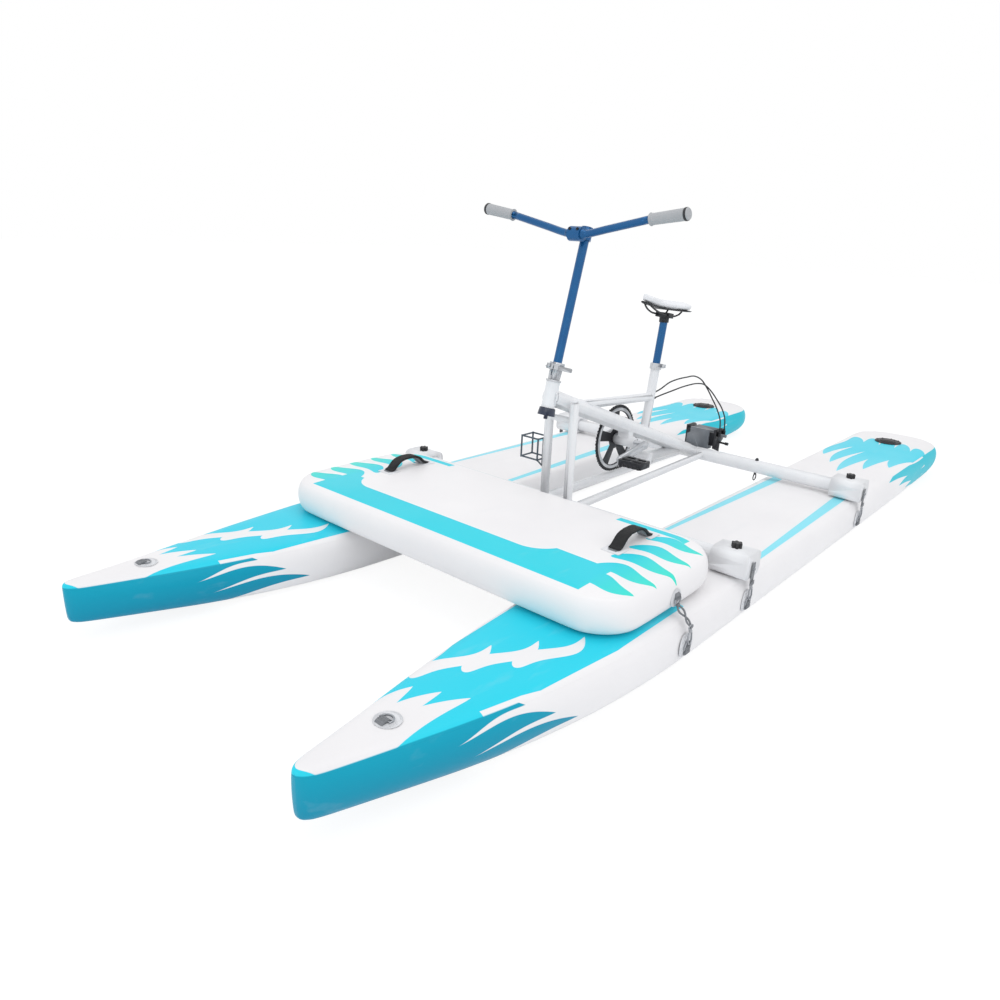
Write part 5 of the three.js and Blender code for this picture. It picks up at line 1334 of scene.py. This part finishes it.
grip_profile = [(BAR_RADIUS, 0), (0.0188, 0.0004), (0.0196, 0.0016), (0.0188, 0.0030)]
for i in range(RIB_STEPS + 1):
    gone = i / RIB_STEPS
    wave = 0.5 + 0.5 * math.cos(gone * RIBS * 2 * math.pi)
    grip_profile.append((0.0162 + 0.0012 * gone + 0.0011 * wave, 0.0040 + 0.1080 * gone))
grip_profile += [(0.0180, 0.1135), (0.0180, 0.1225), (0.0160, 0.1256), (0, 0.1260), (0, 0.1220),
                 (BAR_RADIUS, 0.1220), (BAR_RADIUS, 0)]
ring_profile = [(0.0181, 0.1140), (0.0190, 0.1143), (0.0194, 0.1180), (0.0190, 0.1215), (0.0181, 0.1218),
                (0.0181, 0.1140)]
grip = turned("grip_sleeve", grip_profile, 32, GRIP_START, GRIP_AXIS)
ring = turned("grip_ring", ring_profile, 32, GRIP_START, GRIP_AXIS)
for side, hand in SIDES:
    node = "grip_" + side
    for part, kind, finish, slot in ((grip, "_sleeve", grip_rubber, "grip_rubber"),
                                     (ring, "_ring", black_plastic, "black")):
        stand_for(copy_of(part, node + kind, mirrored=hand < 0), "stem", finish, slot, node)
for spare in (grip, ring):
    bpy.data.objects.remove(spare)
print("grips made")

# %% [markdown]
# ## Steering cables
# Two thin casings leave the frame behind the seat tube, rise in one arch and
# come down to the stops on the port cheek. Both ends sit in a turned ferrule.

# %% Steering cables
CABLES = {
    "upper": [
        (-0.0045, 0.1438, 0.5137), (-0.0028, 0.2030, 0.5247), (0.0040, 0.2593, 0.5464),
        (0.0096, 0.3192, 0.5547), (0.0152, 0.3798, 0.5568), (0.0199, 0.4403, 0.5555),
        (0.0278, 0.4960, 0.5342), (0.0383, 0.5392, 0.4929), (0.0502, 0.5760, 0.4459),
        (0.0659, 0.6067, 0.3960), (0.0776, 0.6301, 0.3412), (0.0790, 0.6365, 0.2814),
    ],
    "lower": [
        (0.0045, 0.1413, 0.4959), (0.0074, 0.2026, 0.5033), (0.0176, 0.2628, 0.5132),
        (0.0232, 0.3240, 0.5208), (0.0279, 0.3856, 0.5249), (0.0323, 0.4474, 0.5248),
        (0.0383, 0.5077, 0.5137), (0.0502, 0.5580, 0.4800), (0.0631, 0.6010, 0.4374),
        (0.0711, 0.6446, 0.3942), (0.0769, 0.6771, 0.3425), (0.0790, 0.6830, 0.2814),
    ],
}
CASING_RADIUS = 0.0030
FERRULE = [(0, 0), (0.0042, 0), (0.0046, 0.0010), (0.0046, 0.0120), (0.0040, 0.0132), (0.0040, 0.0168),
           (0.0034, 0.0180), (0, 0.0180)]
for name, places in CABLES.items():
    node = "steering_cable_" + name
    path = smooth_path(places, 5)
    casing = wire(node + "_casing", path, CASING_RADIUS, 12)
    stand_for(casing, "hull_and_frame", cable_casing, "black", node)
    ends = [turned(node + "_start", FERRULE, 16, places[0], (0, 1, 0.05)),
            turned(node + "_stop", FERRULE, 16, places[-1], (0, 0, 1))]
    stand_for(join_as(node + "_ferrules", ends), "hull_and_frame", black_steel, "black_steel", node)
    print(node, round(sum((b - a).length for a, b in zip(path, path[1:])), 3), "m")

# %% [markdown]
# ## The chain
# A bicycle chain alternates inner and outer links, so one of each is made: two
# flat plates with round ends, and pins or rollers between them. A plate starts
# as a short cylinder, and half of it is pulled to the next pin.

# %% One pair of links
PITCH = 0.0127


def flat_round(name, vertices, radius, depth, place):
    """A short cylinder whose axis lies across the machine."""
    return settle(take_primitive(bpy.ops.mesh.primitive_cylinder_add, name, vertices=vertices, radius=radius,
                                 depth=depth, location=place, rotation=(0, math.pi / 2, 0)))


def link_plate(x, radius, thickness):
    plate = flat_round("plate", 12, radius, thickness, (x, 0, 0))
    for dot in plate.data.vertices:
        dot.select = dot.co.y > 0.0001
    bpy.ops.object.mode_set(mode="EDIT")
    bpy.ops.mesh.select_mode(type="VERT")
    bpy.ops.transform.translate(value=(0, PITCH, 0))
    leave_edit()
    return plate


def link(name, plate_x, plate_radius, thickness, round_radius, round_width):
    plates = [link_plate(x, plate_radius, thickness) for x in (plate_x, -plate_x)]
    rounds = [flat_round("roller", 10, round_radius, round_width, (0, y, 0)) for y in (0, PITCH)]
    return join_as(name, plates + rounds)


outer_link = link("outer_link", 0.0027, 0.0044, 0.0010, 0.0018, 0.0072)
inner_link = link("inner_link", 0.0017, 0.0042, 0.0008, 0.0034, 0.0025)
print("faces in a link pair:", len(outer_link.data.polygons) + len(inner_link.data.polygons))

# %% [markdown]
# ### The chain's loop
# The pins' path has four stretches: round the chainwheel, straight along the
# lower run, round the sprocket, and straight back on top. The wheels' radii
# follow from their teeth, and their places from the rigid frame.

# %% Path of the pins
WHEEL_TEETH, SPROCKET_TEETH, LINKS = 64, 16, 74


def on_rim(centre, radius, angle):
    return Vector((centre + radius * math.cos(angle), radius * math.sin(angle)))


chain_plane = centre_of("drive_chain").x
wheel_middle = centre_of("chainwheel")
to_sprocket = centre_of("jackshaft_sprocket") - wheel_middle
between = math.hypot(to_sprocket.y, to_sprocket.z)
chain_slope = Matrix.Rotation(math.atan2(to_sprocket.z, to_sprocket.y), 2)
wheel_radius = PITCH / 2 / math.sin(math.pi / WHEEL_TEETH)
sprocket_radius = PITCH / 2 / math.sin(math.pi / SPROCKET_TEETH)
run_lean = math.asin((wheel_radius - sprocket_radius) / between)
wheel_turn, sprocket_turn = math.pi + 2 * run_lean, math.pi - 2 * run_lean
touch = math.pi / 2 - run_lean
wheel_low, wheel_high = [on_rim(0, wheel_radius, angle) for angle in (-touch, touch)]
sprocket_low, sprocket_high = [on_rim(between, sprocket_radius, angle) for angle in (-touch, touch)]
straight = between * math.cos(run_lean)
STRETCHES = [
    (WHEEL_TEETH * PITCH * wheel_turn / (2 * math.pi),
     lambda share: on_rim(0, wheel_radius, touch + share * wheel_turn)),
    (straight, lambda share: wheel_low.lerp(sprocket_low, share)),
    (SPROCKET_TEETH * PITCH * sprocket_turn / (2 * math.pi),
     lambda share: on_rim(between, sprocket_radius, -touch + share * sprocket_turn)),
    (straight, lambda share: sprocket_high.lerp(wheel_high, share)),
]


def chain_place(distance):
    for length, place_at in STRETCHES:
        if distance < length:
            break
        distance -= length
    flat = chain_slope @ place_at(distance / length)
    return Vector((chain_plane, wheel_middle.y + flat.x, wheel_middle.z + flat.y))


pins = [chain_place((i + 0.5) * PITCH) for i in range(LINKS)]
print("loop of", round(sum(length for length, place_at in STRETCHES) / PITCH, 2), "links")

# %% [markdown]
# Outer and inner links take turns along the path, and each one points to the
# next pin.

# %% Chain round both wheels
links = []
for i, pin in enumerate(pins):
    step = pins[(i + 1) % LINKS] - pin
    pattern = inner_link if i % 2 else outer_link
    links.append(copy_of(pattern, "link", pin, (math.atan2(step.z, step.y), 0, 0)))
for spare in (outer_link, inner_link):
    bpy.data.objects.remove(spare)
chain = smooth_rounds(join_as("chain_links", links), 40)
stand_for(chain, "hull_and_frame", black_steel, "steel", "drive_chain")
print("chain:", len(chain.data.polygons), "faces")

# %% [markdown]
# ## Fasteners
# Small bolts show where parts are held: round each valve's flange, on the
# chainwheel's spider and on the jaw of the bar clamp. One turned bolt head is
# copied to all of them.

# %% Bolts
VALVE_RING, VALVE_FLANGE = 0.0555, 0.1593
SPIDER_RING, SPIDER_FACE = 0.034, -0.0475
JAW_OUT = Vector((0, -0.77, 0.64))
JAW_FACE = Vector((0, -0.4533, 1.1068)) + JAW_OUT * 0.0228


def place_bolts(name, places, axis, body, size, finish, slot):
    heads = [copy_of(bolt, "bolt", place, heading(axis), size) for place in places]
    stand_for(join_as(name, heads), body, finish, slot)


for side, hand in SIDES:
    valve = centre_of("valve_" + side)
    ring = [(valve.x + across, valve.y + along, VALVE_FLANGE) for across, along in circle_dots(8, VALVE_RING)]
    place_bolts("valve_bolts_" + side, ring, (0, 0, 1), "hull_and_frame", 0.8, black_steel, "black_steel")
spider = [(SPIDER_FACE, wheel_middle.y + along, wheel_middle.z + high)
          for along, high in circle_dots(5, SPIDER_RING, start=0.3)]
place_bolts("wheel_bolts", spider, (-1, 0, 0), "crankset", 0.9, brushed_steel, "steel")
jaw = [JAW_FACE + Vector((x, 0, 0)) for x in (-0.015, 0.015)]
place_bolts("bar_bolts", jaw, JAW_OUT, "stem", 1.1, black_steel, "black_steel")
bpy.data.objects.remove(bolt)
print("bolts placed")

# %% [markdown]
# ## The saddle cushion
# The cushion is a soft shell over foam. It starts from its rigid form, a little
# shrunken, and a cloth with air pressure inside fills it again, so its flanks
# swell between the nose and the wings. A cap on the move keeps it in place.

# %% Swelling helper
def swollen(node, name, shrink, most, voxel=0.004, pressure=4.0):
    piece = merged_copy(node, name)
    apply_modifier(piece, "REMESH", mode="VOXEL", voxel_size=voxel)
    enter_edit(piece)
    bpy.ops.mesh.vertices_smooth(factor=0.5, repeat=6)
    bpy.ops.transform.shrink_fatten(value=-shrink)
    leave_edit()
    rest = [dot.co.copy() for dot in piece.data.vertices]
    cloth = piece.modifiers.new("cloth", "CLOTH")
    cloth.settings.use_pressure = True
    cloth.settings.uniform_pressure_force = pressure
    cloth.settings.effector_weights.gravity = 0
    cloth.settings.quality = 6
    for number in range(1, 21):
        bpy.context.scene.frame_set(number)
    bpy.ops.object.modifier_apply(modifier=cloth.name)
    for dot, place in zip(piece.data.vertices, rest):
        move = dot.co - place
        if move.length > most:
            dot.co = place + move * (most / move.length)
    bpy.context.scene.frame_set(1)
    apply_modifier(piece, "SUBSURF", levels=1, render_levels=1)
    bpy.ops.object.shade_smooth()
    return piece


print("swelling ready")

# %% [markdown]
# A shallow channel runs down the middle of the cushion and fades out towards
# both ends. It is pressed into the finished mesh, deepest on the middle line.

# %% Saddle cushion
CHANNEL_DEPTH = 0.0045
CHANNEL_WIDTH = 0.0085
CHANNEL_START, CHANNEL_END = 0.12, 0.95

cushion = swollen("saddle_cushion", "saddle_cover", 0.0022, 0.005)
low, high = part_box("saddle_cushion")
for dot in cushion.data.vertices:
    along = (dot.co.y - low.y) / (high.y - low.y)
    if dot.normal.z > 0.2 and CHANNEL_START < along < CHANNEL_END:
        centre = math.exp(-((dot.co.x / CHANNEL_WIDTH) ** 2))
        ends = math.sin(math.pi * (along - CHANNEL_START) / (CHANNEL_END - CHANNEL_START)) ** 0.5
        dot.co.z -= CHANNEL_DEPTH * centre * ends
stand_for(cushion, "seat", seat_cover, "moulded", "saddle_cushion")
print("cushion", len(cushion.data.polygons), "faces", [round(c, 3) for c in cushion.dimensions])
